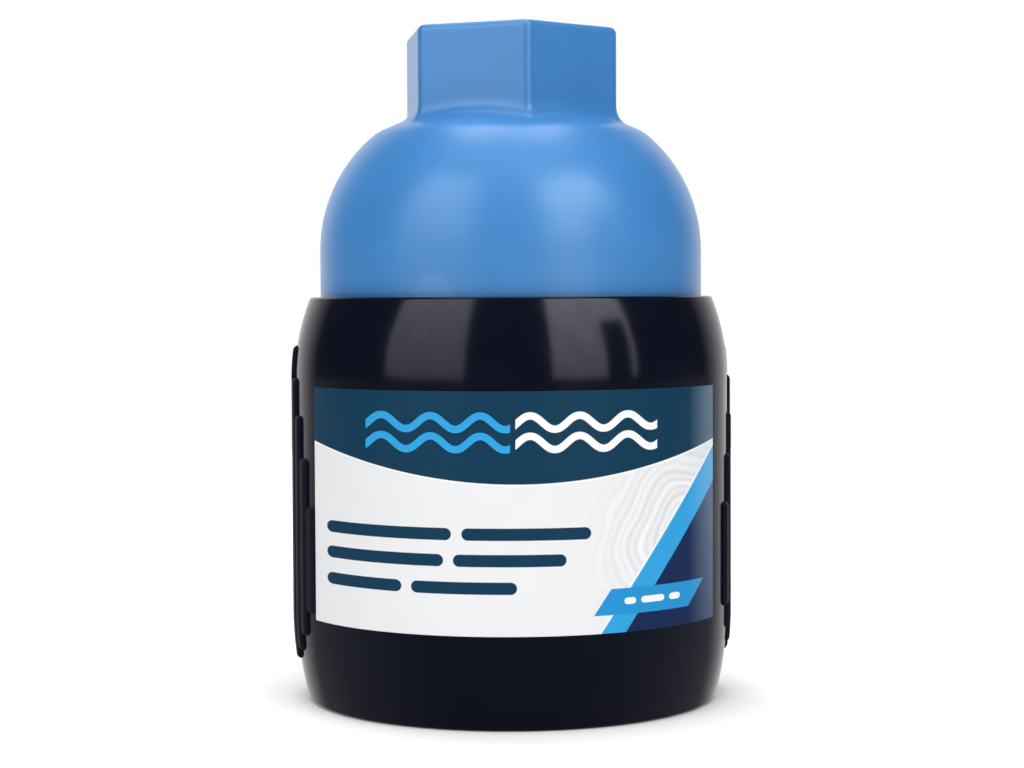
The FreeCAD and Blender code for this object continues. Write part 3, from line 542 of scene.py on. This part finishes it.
def ripple_shade(tree, x, z):
    """Faint rings about a point on the field: two sines of the distance, bent a little by noise, which fade
    out with distance and near the point."""
    away = add(tree, "CombineXYZ", [minus(tree, x, RIPPLES["x"]), minus(tree, z, RIPPLES["z"])]).outputs[0]
    distance = add(tree, "VectorMath", [away], operation="LENGTH").outputs["Value"]
    bend = add(tree, "TexNoise", {"Vector": away, "Scale": 0.08, "Detail": 1.0}).outputs[0]
    bent = plus(tree, distance, times(tree, bend, 8.0))
    ring = maths(tree, "SINE", times(tree, bent, RIPPLES["fine"]))
    broad = maths(tree, "SINE", times(tree, bent, RIPPLES["broad"]))
    wave = plus(tree, ring, times(tree, broad, 0.6))
    fade = times(tree, between(tree, distance, RIPPLES["reach"], 9.0),
                 between(tree, distance, 1.0, 6.0, 0.5, 1.0))
    return times(tree, times(tree, wave, fade), 0.6)


def make_label_material():
    """The print, laid down colour by colour from the field up, under a thin clear film. Its right end is
    lightened by a painted sheen, more so towards the top.
    """
    material, tree, shader = new_material("label_print")
    seen = add(tree, "SeparateXYZ", [add(tree, "UVMap", uv_map="print").outputs[0]]).outputs
    x, z = seen[0], seen[1]
    shade = between(tree, ripple_shade(tree, x, z), -1.0, 1.0)
    colour = blend_colours(tree, shade, tuple(0.88 * c for c in PRINT["field"][:3]) + (1,), PRINT["white"])
    bar, wave = make_printed_bar(), make_wave_line()
    for height, spans in LINES_OF_PRINT.items():
        for left, right in spans:
            line = use_group(tree, bar, x=x, z=z, left=left, right=right, height=height, half=1.0)["Mask"]
            colour = blend_colours(tree, line, colour, PRINT["teal"])
    lean = minus(tree, x, times(tree, z, SLANT))
    for name, edge in STRIPE.items():
        colour = blend_colours(tree, past(tree, lean, edge), colour, PRINT[name])
    upright = times(tree, past(tree, z, PLAQUE["low"]), before(tree, z, PLAQUE["high"]))
    slanted = times(tree, past(tree, lean, PLAQUE["left"]), before(tree, lean, PLAQUE["right"]))
    colour = blend_colours(tree, times(tree, upright, slanted), colour, PRINT["plaque"])
    for left, right in PLAQUE_MARKS:
        mark = use_group(tree, bar, x=x, z=z, left=left, right=right, height=21.15, half=0.55)["Mask"]
        colour = blend_colours(tree, mark, colour, PRINT["white"])
    share = maths(tree, "DIVIDE", x, BAND["half_width"])
    sag = times(tree, times(tree, share, share), BAND["sag"])
    above = minus(tree, z, plus(tree, sag, BAND["edge"]))
    colour = blend_colours(tree, past(tree, above, -BAND["outline"]), colour, PRINT["white"])
    colour = blend_colours(tree, past(tree, above, 0.0), colour, PRINT["teal"])
    for height in WAVE_HEIGHTS:
        stroke = use_group(tree, wave, x=x, z=z, height=height)["Mask"]
        for name, (left, right) in WAVE_HALVES.items():
            inside = times(tree, past(tree, x, left + SOFT), before(tree, x, right - SOFT))
            colour = blend_colours(tree, times(tree, stroke, inside), colour, PRINT[name])
    # Painted sheen: the film's right end is mixed towards pale blue-white, more so higher up, where a reflection
    # of the light would lie.
    painted_sheen = times(tree, between(tree, x, 29.3, 33.6, 0.0, 0.2), between(tree, z, 12.0, 36.0, 0.5, 1.0))
    colour = blend_colours(tree, painted_sheen, colour, (0.6, 0.8, 0.95, 1))
    skin = use_group(tree, MOULDED_SKIN, scale=700, gloss=0.3, spread=0.08, texture=0.4)
    feed(shader.inputs["Base Color"], colour)
    feed(shader.inputs["Roughness"], skin["Roughness"])
    feed(shader.inputs["Specular IOR Level"], 0.25)
    bump(tree, shader, skin["Height"], 0.00001)
    return material


dress(make_label(), "bowl", make_label_material(), ["label"])

# ---------------------------------------- cartridge
# The filter cartridge: two white caps, a perforated core and a windowed cage, all injection moulded, with a
# folded sheet between them whose ends are cast into a ring of resin in each cap. Two rubber rings seal its
# spigot.
PLEATS = {"count": 40, "inside": 8.85, "outside": 21.95, "half_sheet": 0.2, "samples": 28, "flatness": 3.2}


def make_pleats(low, high):
    """The folded sheet. Its middle line is radius = mean + swing tanh(f cos t) / tanh(f) at the angle t /
    count, so the folds are flat-topped and the sides nearly radial; both faces lie half_sheet from it,
    square to the line."""
    count = PLEATS["count"] * PLEATS["samples"]
    t = np.linspace(0, 2 * math.pi * PLEATS["count"], count, endpoint=False)
    mean, swing = (PLEATS["outside"] + PLEATS["inside"]) / 2, (PLEATS["outside"] - PLEATS["inside"]) / 2
    radius = mean + swing * np.tanh(PLEATS["flatness"] * np.cos(t)) / math.tanh(PLEATS["flatness"])
    angle = t / PLEATS["count"]
    line = np.column_stack([radius * np.cos(angle), radius * np.sin(angle)])
    ahead = np.roll(line, -1, axis=0) - np.roll(line, 1, axis=0)
    square = np.column_stack([ahead[:, 1], -ahead[:, 0]]) / np.linalg.norm(ahead, axis=1, keepdims=True)
    z = np.linspace(low, high, 14)
    rows = [(side, height) for side, heights in ((1, z), (-1, z[::-1])) for height in heights]
    points = np.stack([np.column_stack([line + square * side * PLEATS["half_sheet"], np.full(count, height)])
                       for side, height in rows])
    return mesh_from("pleated_sheet", points, grid_faces(*points.shape[:2]), crease=50)


def make_felt():
    """Spun fibre sheet: near-white, matt, with fibres as a stretched noise in its colour and its
    surface."""
    material, tree, shader = new_material("spun_felt")
    place = add(tree, "TexCoord").outputs["Object"]
    fibres = add(tree, "TexNoise",
                 {"Vector": place, "Scale": 3200.0, "Detail": 5.0, "Distortion": 1.5}).outputs[0]
    patches = add(tree, "TexNoise", {"Vector": place, "Scale": 240.0, "Detail": 3.0}).outputs[0]
    mixed = between(tree, plus(tree, fibres, patches), 0.75, 1.25)
    dull, bright = (0.66, 0.665, 0.62, 1), (0.86, 0.865, 0.84, 1)
    feed(shader.inputs["Base Color"], blend_colours(tree, mixed, dull, bright))
    feed(shader.inputs["Roughness"], 0.9)
    feed(shader.inputs["Sheen Weight"], 0.25)
    bump(tree, shader, fibres, 0.00012)
    return material


def make_rubber():
    """Black nitrile rubber: dull, with a bloom of paler specks and a fine grain."""
    material, tree, shader = new_material("nitrile_rubber")
    skin = use_group(tree, MOULDED_SKIN, scale=3800, gloss=0.46, spread=0.2, texture=1.2)
    dull, bright = (0.012, 0.012, 0.013, 1), (0.026, 0.026, 0.028, 1)
    feed(shader.inputs["Base Color"], blend_colours(tree, skin["Tint"], dull, bright))
    feed(shader.inputs["Roughness"], skin["Roughness"])
    bump(tree, shader, skin["Height"], 0.00003)
    return material


def ring(name, centre, section, height, flash=0.03):
    """A rubber ring: a circle of radius section about (centre, height), with the tool's parting line as a
    low bead around its outside and inside."""
    a = np.linspace(0, 2 * math.pi, 40, endpoint=False)
    bead = section + flash * np.exp(-((np.sin(a) / 0.09) ** 2)) - flash
    return lathe(name, np.column_stack([centre + bead * np.cos(a), height + bead * np.sin(a)]),
                 np.linspace(0, 2 * math.pi, 160, endpoint=False))


white_plastic = moulded_plastic("white_plastic", (0.74, 0.755, 0.76), gloss=0.36, spread=0.1, texture=0.5,
                                scale=1400, depth=0.00003, tint=0.04, dust=0.0)
resin = moulded_plastic("cast_resin", (0.66, 0.62, 0.5), gloss=0.3, spread=0.15, texture=0.2, scale=500,
                        depth=0.0001, tint=0.1, dust=0.0)
felt, rubber = make_felt(), make_rubber()
for name in ("cartridge_bottom_cap", "cartridge_top_cap", "cartridge_core", "outer_cage"):
    frame["nodes"][name].data.materials[0] = white_plastic
for name in ("potting_bottom", "potting_top"):
    frame["nodes"][name].data.materials[0] = resin
sheet_low, sheet_high = (corner.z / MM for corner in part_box("pleated_media"))
dress(make_pleats(sheet_low, sheet_high), "cartridge", felt, ["pleated_media"])
for name in ("spigot_o_ring_lower", "spigot_o_ring_upper"):
    low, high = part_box(name)
    dress(ring(name + "_moulding", 7.43, 0.72, (low.z + high.z) / 2 / MM), "cartridge", rubber,
          [name])

# ---------------------------------------- housing seal
# A black rubber ring in the groove of the head's skirt. It seals against the bowl's bore. When the head is
# unscrewed, the ring goes up with it and doesn't turn.
low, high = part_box("housing_seal")
seal_height = (low.z + high.z) / 2 / MM
dress(ring("housing_seal_moulding", 30.875, 1.275, seal_height, flash=0.04), "seal", rubber,
      ["housing_seal"])

# ---------------------------------------- head
# One moulding in bright blue plastic with a satin skin: skirt with seal groove and three-start thread,
# dome, and a hexagon for a spanner around the threaded inlet. The gate's round witness mark is on the front
# of its shoulder.
HEAD_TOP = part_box("head")[1].z / MM
DOME = {"radius": 34.0, "start": 79.5, "sweep": 26.6, "end": 25.0, "bend": 9.0, "crown": 23.0}
HEXAGON = {"across": 35.0, "corner": 1.6, "edge": 1.2, "fillet": 3.8, "turn": 2.5 - 90}
CORE = {"wall": 32.2, "low": 56.5, "high": 69.2, "start": 60.8, "climb": 7.0, "crest": 33.6, "foot": 31.9}
INLET = {"crest": 12.2, "low": 110.2, "high": 116.8, "start": 109.0, "root": 13.62, "open": 12.0,
         "mouth": 14.6}
SKY_BLUE = (0.054, 0.25, 0.62)
GATE = {"turn": -118.3, "height": 71.9, "radius": 3.6}


def hexagon_radius(a):
    """Distance from the axis to the hexagon at angle a: flat / cos off, where off is the angle from the
    nearest flat's middle, and at a corner the far side of a circle of radius corner that touches both
    flats."""
    flat, corner = HEXAGON["across"] / 2, HEXAGON["corner"]
    off = np.abs((a - math.radians(HEXAGON["turn"]) + 0 * a) % (math.pi / 3) - math.pi / 6)
    centre = (flat - corner) / math.cos(math.pi / 6)
    from_corner = math.pi / 6 - off
    beyond = np.sqrt(np.clip(corner ** 2 - (centre * np.sin(from_corner)) ** 2, 0, None))
    bend = centre * np.cos(from_corner) + beyond
    touch = math.atan((flat - corner) * math.tan(math.pi / 6) / flat)
    return np.where(off > touch, bend, flat / np.cos(off))


def head_angles():
    """Angles for the head's grid: even over the flats and closer together around the hexagon's corners."""
    corner = math.radians(2.6)
    flats = np.linspace(corner, math.pi / 3 - corner, 27)
    bends = np.linspace(-corner, corner, 12)[1:-1]
    sector = np.concatenate([bends, flats])
    turned = np.concatenate([sector + i * math.pi / 3 for i in range(6)]) + math.radians(HEXAGON["turn"])
    return np.sort(turned % (2 * math.pi))


def dome_line():
    """The dome's outside: radius, height and outward direction of points along it. It is an arc of radius
    sweep from the wall, then a tighter bend, and then a straight crown that rises to the axis at the angle
    crown."""
    turn = math.acos((DOME["end"] - DOME["radius"] + DOME["sweep"]) / DOME["sweep"])
    flat = math.radians(90 - DOME["crown"])
    dome = np.array(sweep((DOME["radius"] - DOME["sweep"], DOME["start"]), DOME["sweep"], 0, turn, 60))
    inset = DOME["bend"] * np.array([math.cos(turn), math.sin(turn)])
    bend = np.array(sweep(dome[-1] - inset, DOME["bend"], turn, flat, 16))[1:]
    along = np.linspace(0, 10, 30)[1:, None]
    crown = bend[-1] + along * np.array([-math.sin(flat), math.cos(flat)])
    facing = np.concatenate([np.linspace(0, turn, 60), np.linspace(turn, flat, 16)[1:], np.full(29, flat)])
    return np.vstack([dome, bend, crown]), facing


def arc_rows(centre_r, centre_z, radius, start, end, count):
    """Rows of an arc whose centre, radius and ends may differ from angle to angle of the head."""
    t = np.linspace(0, 1, count)[:, None]
    turn = start + t * (end - start)
    return np.stack([centre_r + radius * np.cos(turn), centre_z + radius * np.sin(turn)], axis=-1)


def skirt_line():
    """The head's outside below the dome: skirt, groove of the seal, threaded wall, shoulder and upright
    wall."""
    wall = CORE["foot"]
    skirt = [(27.2, 48.5), (27.2, 46.1, 0.4), (31.3, 46.1, 0.2), (wall, 46.7, 0.2), (wall, 48.6, 0.15)]
    groove = [(29.55, 48.6, 0.2), (29.55, 51.9, 0.2), (wall, 51.9, 0.15), (wall, 56.2)]
    threaded = [*span(CORE["wall"], CORE["low"], CORE["high"], STEP["ridge"]), (CORE["wall"], 69.4, 0.2)]
    shoulder = [(DOME["radius"], 69.4, 0.3), (DOME["radius"], 72), (DOME["radius"], DOME["start"] - 1.5)]
    return rounded(skirt + groove + threaded + shoulder, closed=False)


def passage_line():
    """The head's inside from the top down: threaded inlet, seat of the washer, passage, dome and skirt. The
    inlet's wall is at the crests and widens by as much as it goes past either end of the thread."""
    mouth = [(INLET["mouth"], HEAD_TOP), (13.8, HEAD_TOP, 0.25), (13.5, HEAD_TOP - 0.3)]
    threaded = [*span(13.3, 117.9, INLET["low"], STEP["hose"]), (13.1, 109.6)]
    seat = [(13.1, 106.6, 0.3), (8, 106.6, 0.3), (8, 102.89, 0.8)]
    dome = [*sweep((7.4, DOME["start"]), 23.4, 1.4, 0, 22), (30.8, 70, 1), (27.2, 66, 1), (27.2, 57)]
    line = rounded(mouth + threaded + seat + dome, closed=False)
    bore = (line[:, 0] < 13.45) & (line[:, 0] > 12.9) & (line[:, 1] > INLET["low"] - 0.1)
    above, below = line[bore, 1] - INLET["high"], INLET["low"] - line[bore, 1]
    line[bore, 0] = INLET["crest"] + np.clip(above, 0, None) + np.clip(below, 0, None)
    return line


def make_head():
    """The head's closed profile at every angle: skirt and thread, dome, fillet, hexagon wall, top, and back
    down through the inlet and the inside. Only dome, fillet, wall and top differ from angle to angle."""
    a = head_angles()
    even = np.zeros(len(a))
    wide = hexagon_radius(a)
    fillet, edge = HEXAGON["fillet"], HEXAGON["edge"]
    line, facing = dome_line()
    rolled = line + fillet * np.column_stack([np.cos(facing), np.sin(facing)])
    meet = np.interp(-wide - fillet, -rolled[:, 0], np.arange(len(line)))
    fillet_z, meet_turn = (np.interp(meet, np.arange(len(line)), v) for v in (rolled[:, 1], facing))
    place = np.linspace(0, 1, 44)[:, None] * meet
    dome = np.stack([np.interp(place, np.arange(len(line)), line[:, i]) for i in (0, 1)], axis=-1)
    wall_z = fillet_z + (HEAD_TOP - edge - fillet_z) * np.array([0.02, 0.1, 0.5, 0.9, 0.98])[:, None]
    top = wide - edge + (INLET["mouth"] - wide + edge) * np.array([0.04, 0.3, 0.7])[:, None]
    blocks = [
        at_every_angle(skirt_line(), a), dome,
        arc_rows(wide + fillet, fillet_z, fillet, meet_turn + math.pi, even + math.pi, 12)[1:],
        np.stack([wide + 0 * wall_z, wall_z], axis=-1),
        arc_rows(wide - edge, HEAD_TOP - edge, edge, even, even + math.pi / 2, 7),
        np.stack([top, HEAD_TOP + 0 * top], axis=-1), at_every_angle(passage_line(), a),
    ]
    profile = np.concatenate(blocks)
    radius, z = profile[..., 0], profile[..., 1]
    on_core = (np.abs(radius - CORE["wall"]) < 0.01) & (z > CORE["low"] - 0.1) & (z < CORE["high"] + 0.1)
    in_inlet = (radius < 13.9) & (z > INLET["low"] - 0.5)
    core = ridge_thread(radius, z, a[None], CORE["start"], CORE["climb"], CORE["crest"], CORE["foot"])
    inlet = np.maximum(radius, hose_thread(z, a[None], INLET["start"], INLET["root"], INLET["open"]))
    profile[..., 0] = np.where(on_core, core, np.where(in_inlet, inlet, radius))
    return mesh_from("head_moulding", around(profile, a), grid_faces(*profile.shape[:2]), crease=45)


def make_blue_plastic():
    """The head's satin plastic: the moulded skin, with the gate's disc a shade paler, finely scored about
    its middle and set a hair lower than the wall."""
    material, tree, shader = new_material("blue_plastic")
    skin = use_group(tree, MOULDED_SKIN, scale=1100, gloss=0.31, spread=0.07, texture=0.5, waves=3.0)
    feed(shader.inputs["Specular IOR Level"], 1.0)
    feed(shader.inputs["Specular Tint"], (0.72, 0.95, 1.0, 1))
    feed(shader.inputs["Coat Weight"], 0.6)
    feed(shader.inputs["Coat Roughness"], 0.3)
    feed(shader.inputs["Coat IOR"], 1.6)
    turn = math.radians(GATE["turn"])
    place = add(tree, "TexCoord").outputs["Object"]
    middle = (DOME["radius"] * MM * math.cos(turn), DOME["radius"] * MM * math.sin(turn), GATE["height"] * MM)
    away = add(tree, "Mapping", {"Vector": place, "Location": middle, "Rotation": (0, 0, turn)},
               vector_type="TEXTURE").outputs[0]
    parts = add(tree, "SeparateXYZ", [away]).outputs
    flat = add(tree, "CombineXYZ", [parts[1], parts[2]]).outputs[0]
    distance = add(tree, "VectorMath", [flat], operation="LENGTH").outputs["Value"]
    front = times(tree, between(tree, parts[0], -0.004, -0.003), between(tree, parts[0], 0.004, 0.003))
    disc = times(tree, front, between(tree, distance, GATE["radius"] * MM, GATE["radius"] * 0.9 * MM))
    rays = add(tree, "TexNoise", {"Vector": add(tree, "VectorMath", [flat], operation="NORMALIZE").outputs[0],
                                  "Scale": 14.0, "Detail": 3.0}).outputs[0]
    scored = times(tree, disc, between(tree, rays, 0.3, 0.75))
    dull, bright = (tuple(c * s for c in SKY_BLUE) + (1,) for s in (0.95, 1.05))
    colour = blend_colours(tree, skin["Tint"], dull, bright)
    colour = blend_colours(tree, times(tree, scored, 0.4), colour, (0.2, 0.42, 0.75, 1))
    dust = use_group(tree, SETTLED_DUST, amount=0.06)["Mask"]
    feed(shader.inputs["Base Color"], blend_colours(tree, dust, colour, DUST_COLOUR))
    feed(shader.inputs["Roughness"], plus(tree, skin["Roughness"], times(tree, scored, 0.1)))
    height = minus(tree, times(tree, skin["Height"], 0.4), times(tree, disc, 0.5))
    bump(tree, shader, height, 0.00005)
    return material


dress(make_head(), "head", make_blue_plastic(), ["head"])

# ---------------------------------------- inlet washer
# A hose washer of black rubber that lies at the bottom of the inlet. The strainer's steel rim sits in a
# slot in its hole, and wires woven over and under each other end in the rim.
WIRE = {"radius": 0.14, "spacing": 1.05, "reach": 8.5, "height": 108.1}


def make_washer():
    """The washer's flat ring with rounded edges, and the slot in its hole that the strainer's rim sits
    in."""
    low, high = (corner.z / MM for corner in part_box("inlet_washer"))
    ring_edges = [(9, low, 0.25), (12.95, low, 0.35), (12.95, high, 0.35), (9, high, 0.25)]
    slot = [(9, 108.5, 0.1), (10.2, 108.5, 0.1), (10.2, 107.7, 0.1), (9, 107.7, 0.1)]
    return lathe("inlet_washer_moulding", rounded(ring_edges + slot))


def make_weave():
    """Wires both ways across a disc. A wire's middle line is height + radius cos(pi (along / spacing + its
    number)), so neighbours pass over and under; a circle of radius is carried along it."""
    count = int(WIRE["reach"] / WIRE["spacing"])
    points, faces, size = [], [], 0
    turn = np.linspace(0, 2 * math.pi, 8, endpoint=False)
    for way in (0, 1):
        for number in range(-count, count + 1):
            across = number * WIRE["spacing"]
            half = math.sqrt(WIRE["reach"] ** 2 - across ** 2)
            along = np.linspace(-half, half, max(8, int(half * 12)))
            lift = WIRE["radius"] * np.cos(math.pi * (along / WIRE["spacing"] + number + way))
            side = across + WIRE["radius"] * np.cos(turn)[None] + 0 * along[:, None]
            up = WIRE["height"] + lift[:, None] + WIRE["radius"] * np.sin(turn)[None]
            run = along[:, None] + 0 * side
            points.append(np.stack([run, side, up] if way == 0 else [side, run, up], axis=-1).reshape(-1, 3))
            faces += grid_faces(len(along), len(turn), first=size, ring_rows=False, lids=True)
            size += len(points[-1])
    return mesh_from("strainer_weave", np.vstack(points), faces)


def make_steel():
    """Stainless steel: bare metal whose roughness and colour wander a little, as drawn wire and pressed
    sheet do."""
    material, tree, shader = new_material("stainless_steel")
    skin = use_group(tree, MOULDED_SKIN, scale=4200, gloss=0.28, spread=0.2, texture=0.6)
    dull, bright = (0.5, 0.49, 0.47, 1), (0.68, 0.67, 0.65, 1)
    feed(shader.inputs["Base Color"], blend_colours(tree, skin["Tint"], dull, bright))
    feed(shader.inputs["Roughness"], skin["Roughness"])
    feed(shader.inputs["Metallic"], 1.0)
    bump(tree, shader, skin["Height"], 0.00001)
    return material


steel = make_steel()
dress(make_washer(), "head", rubber, ["inlet_washer"])
dress(make_weave(), "head", steel, ["strainer_mesh"])
frame["nodes"]["strainer_rim"].data.materials[0] = steel

# ---------------------------------------- studio
# A round pale table, two upright softboxes at left and right of the camera, and a small one overhead. Soft
# light from the front, from above and from behind at both sides gives no reflection. A bright wall stands
# behind.
CAMERA = {"turn": -6.0, "distance": 386.0, "height": 71.6, "tilt": 2.376, "pan": 0.022, "roll": -0.25,
          "lens": 75.55}
TABLE = {"radius": 620.0, "corners": 128}


def make_floor():
    """A round table top: its outline is the circle x = r cos a, y = r sin a."""
    count, radius = TABLE["corners"], TABLE["radius"]
    a = np.linspace(0, 2 * math.pi, count, endpoint=False)
    points = np.column_stack([radius * np.cos(a), radius * np.sin(a), np.zeros(count)])
    mesh = bpy.data.meshes.new("floor")
    mesh.from_pydata((points * MM).tolist(), [], [list(range(count))])
    floor = bpy.data.objects.new("floor", mesh)
    bpy.context.scene.collection.objects.link(floor)
    material, tree, shader = new_material("pale_floor")
    place = add(tree, "TexCoord").outputs["Object"]
    grain = add(tree, "TexNoise", {"Vector": place, "Scale": 60.0, "Detail": 4.0}).outputs[0]
    feed(shader.inputs["Base Color"], blend_colours(tree, grain, (0.93, 0.93, 0.93, 1), (0.95, 0.95, 0.95, 1)))
    feed(shader.inputs["Roughness"], 0.9)
    feed(shader.inputs["Specular IOR Level"], 0.0)
    mesh.materials.append(material)
    floor.visible_glossy = False


def seen_from(turn, rise):
    """The direction towards something at turn and rise in degrees, counted from the camera's side."""
    a, e = math.radians(turn + CAMERA["turn"]), math.radians(rise)
    return Vector((math.sin(a) * math.cos(e), -math.cos(a) * math.cos(e), math.sin(e)))


def add_lamp(name, kind, place, facing, in_gloss=True):
    """A lamp at place that shines against the direction facing. The camera doesn't see it, and reflections
    show it only if in_gloss is true."""
    lamp = bpy.data.lights.new(name, kind)
    holder = bpy.data.objects.new(name, lamp)
    bpy.context.scene.collection.objects.link(holder)
    holder.location = place
    holder.rotation_euler = facing.to_track_quat("Z", "Y").to_euler()
    holder.visible_glossy = in_gloss
    holder.visible_camera = False
    return lamp


def add_softbox(name, place, facing, width, height, radiance, ends=(1.0, 1.0), card=None, in_gloss=True):
    """A rectangular lamp. Its power is radiance times pi times its area. The light changes from its lower
    to its upper end by the two factors ends, and is a little uneven, like cloth in front of a tube. A dark
    card may hang in front of it, from the share card[0] to card[1] of its width and up to the share card[2]
    of its height."""
    lamp = add_lamp(name, "AREA", place, facing, in_gloss)
    lamp.shape, lamp.size, lamp.size_y = "RECTANGLE", width, height
    lamp.energy = radiance * math.pi * width * height
    if in_gloss:
        lamp.use_nodes = True
        tree = lamp.node_tree
        tree.nodes.clear()
        spot = add(tree, "NewGeometry").outputs["Parametric"]
        cloth = add(tree, "TexNoise", {"Vector": spot, "Scale": 5.0}).outputs[0]
        across, upwards = add(tree, "SeparateXYZ", [spot]).outputs[:2]
        glow = times(tree, between(tree, upwards, 0.0, 1.0, *ends),
                     between(tree, cloth, 0.3, 0.7, 0.85, 1.15))
        if card:
            beside = times(tree, between(tree, across, card[0] - 0.02, card[0] + 0.02),
                           between(tree, across, card[1] + 0.02, card[1] - 0.02))
            hidden = times(tree, beside, between(tree, upwards, card[2] + 0.03, card[2] - 0.03))
            glow = times(tree, glow, minus(tree, 1.0, hidden))
        light = add(tree, "Emission", {"Strength": glow}).outputs[0]
        feed(add(tree, "OutputLight").inputs["Surface"], light)


def make_world():
    """White where the camera looks. For light and reflections it is bright behind the filter and dark in
    front."""
    world = bpy.data.worlds.new("studio")
    bpy.context.scene.world = world
    world.use_nodes = True
    tree = world.node_tree
    tree.nodes.clear()
    direction = add(tree, "TexCoord").outputs["Generated"]
    ahead = tuple(-seen_from(0, 0))
    behind = add(tree, "VectorMath", [direction, ahead], operation="DOT_PRODUCT").outputs["Value"]
    wall = between(tree, behind, 0.55, 0.95, 0.02, 0.78)
    below = between(tree, add(tree, "SeparateXYZ", [direction]).outputs["Z"], 0.0, -0.05)
    table = times(tree, below, between(tree, behind, -0.7, 0.3, 0.04, 0.17))
    wall = maths(tree, "MAXIMUM", wall, table)
    seen = add(tree, "Background", {"Color": (1, 1, 1, 1), "Strength": 1.0}).outputs[0]
    shone = add(tree, "Background", {"Color": (1, 1, 1, 1), "Strength": wall}).outputs[0]
    camera_ray = add(tree, "LightPath").outputs["Is Camera Ray"]
    mixed = add(tree, "MixShader", [camera_ray, shone, seen]).outputs[0]
    feed(add(tree, "OutputWorld").inputs["Surface"], mixed)


def make_camera():
    """The camera stands about level with the bowl's rim and is tilted down a little, without a shift."""
    camera = bpy.data.cameras.new("camera")
    camera.lens, camera.sensor_width = CAMERA["lens"], 36.0
    camera.clip_start, camera.clip_end = 0.01, 60.0
    holder = bpy.data.objects.new("camera", camera)
    bpy.context.scene.collection.objects.link(holder)
    holder.location = seen_from(0, 0) * CAMERA["distance"] * MM + Vector((0, 0, CAMERA["height"] * MM))
    upright = Matrix.Rotation(math.radians(CAMERA["turn"] - CAMERA["pan"]), 4, "Z")
    raised = Matrix.Rotation(math.radians(90 - CAMERA["tilt"]), 4, "X")
    rolled = Matrix.Rotation(math.radians(CAMERA["roll"]), 4, "Z")
    holder.rotation_euler = (upright @ raised @ rolled).to_euler()
    bpy.context.scene.camera = holder


make_floor()
make_world()
make_camera()
up, middle = Vector((0, 0, 1)), Vector((0, 0, 0.07))
for name, turn, width, radiance, card in (("softbox_left", -45.5, 0.64, 1.0, None),
                                          ("softbox_right", 44.0, 0.68, 1.5, (0.62, 0.93, 0.4))):
    facing = seen_from(turn, 0)
    add_softbox(name, facing * 0.8 + up * 0.57, facing, width, 1.0, radiance, ends=(0.6, 1.8), card=card)
for name, turn, radiance in (("fill_left", -150, 5.0), ("fill_right", 150, 1.5)):
    facing = seen_from(turn, 5)
    add_softbox(name, middle + facing * 1.2, facing, 1.0, 1.0, radiance, in_gloss=False)
facing = seen_from(0, 104)
add_softbox("softbox_top", middle + facing * 0.9, facing, 0.6, 0.42, 1.7)
facing = seen_from(0, 15)
add_softbox("fill_front", middle + facing * 1.2, facing, 1.4, 1.2, 0.3, in_gloss=False)
sun = add_lamp("sky", "SUN", up, seen_from(0, 80), in_gloss=False)
sun.energy, sun.angle = 0.8 * math.pi, math.radians(60)
bpy.context.scene.view_settings.view_transform = "Standard"
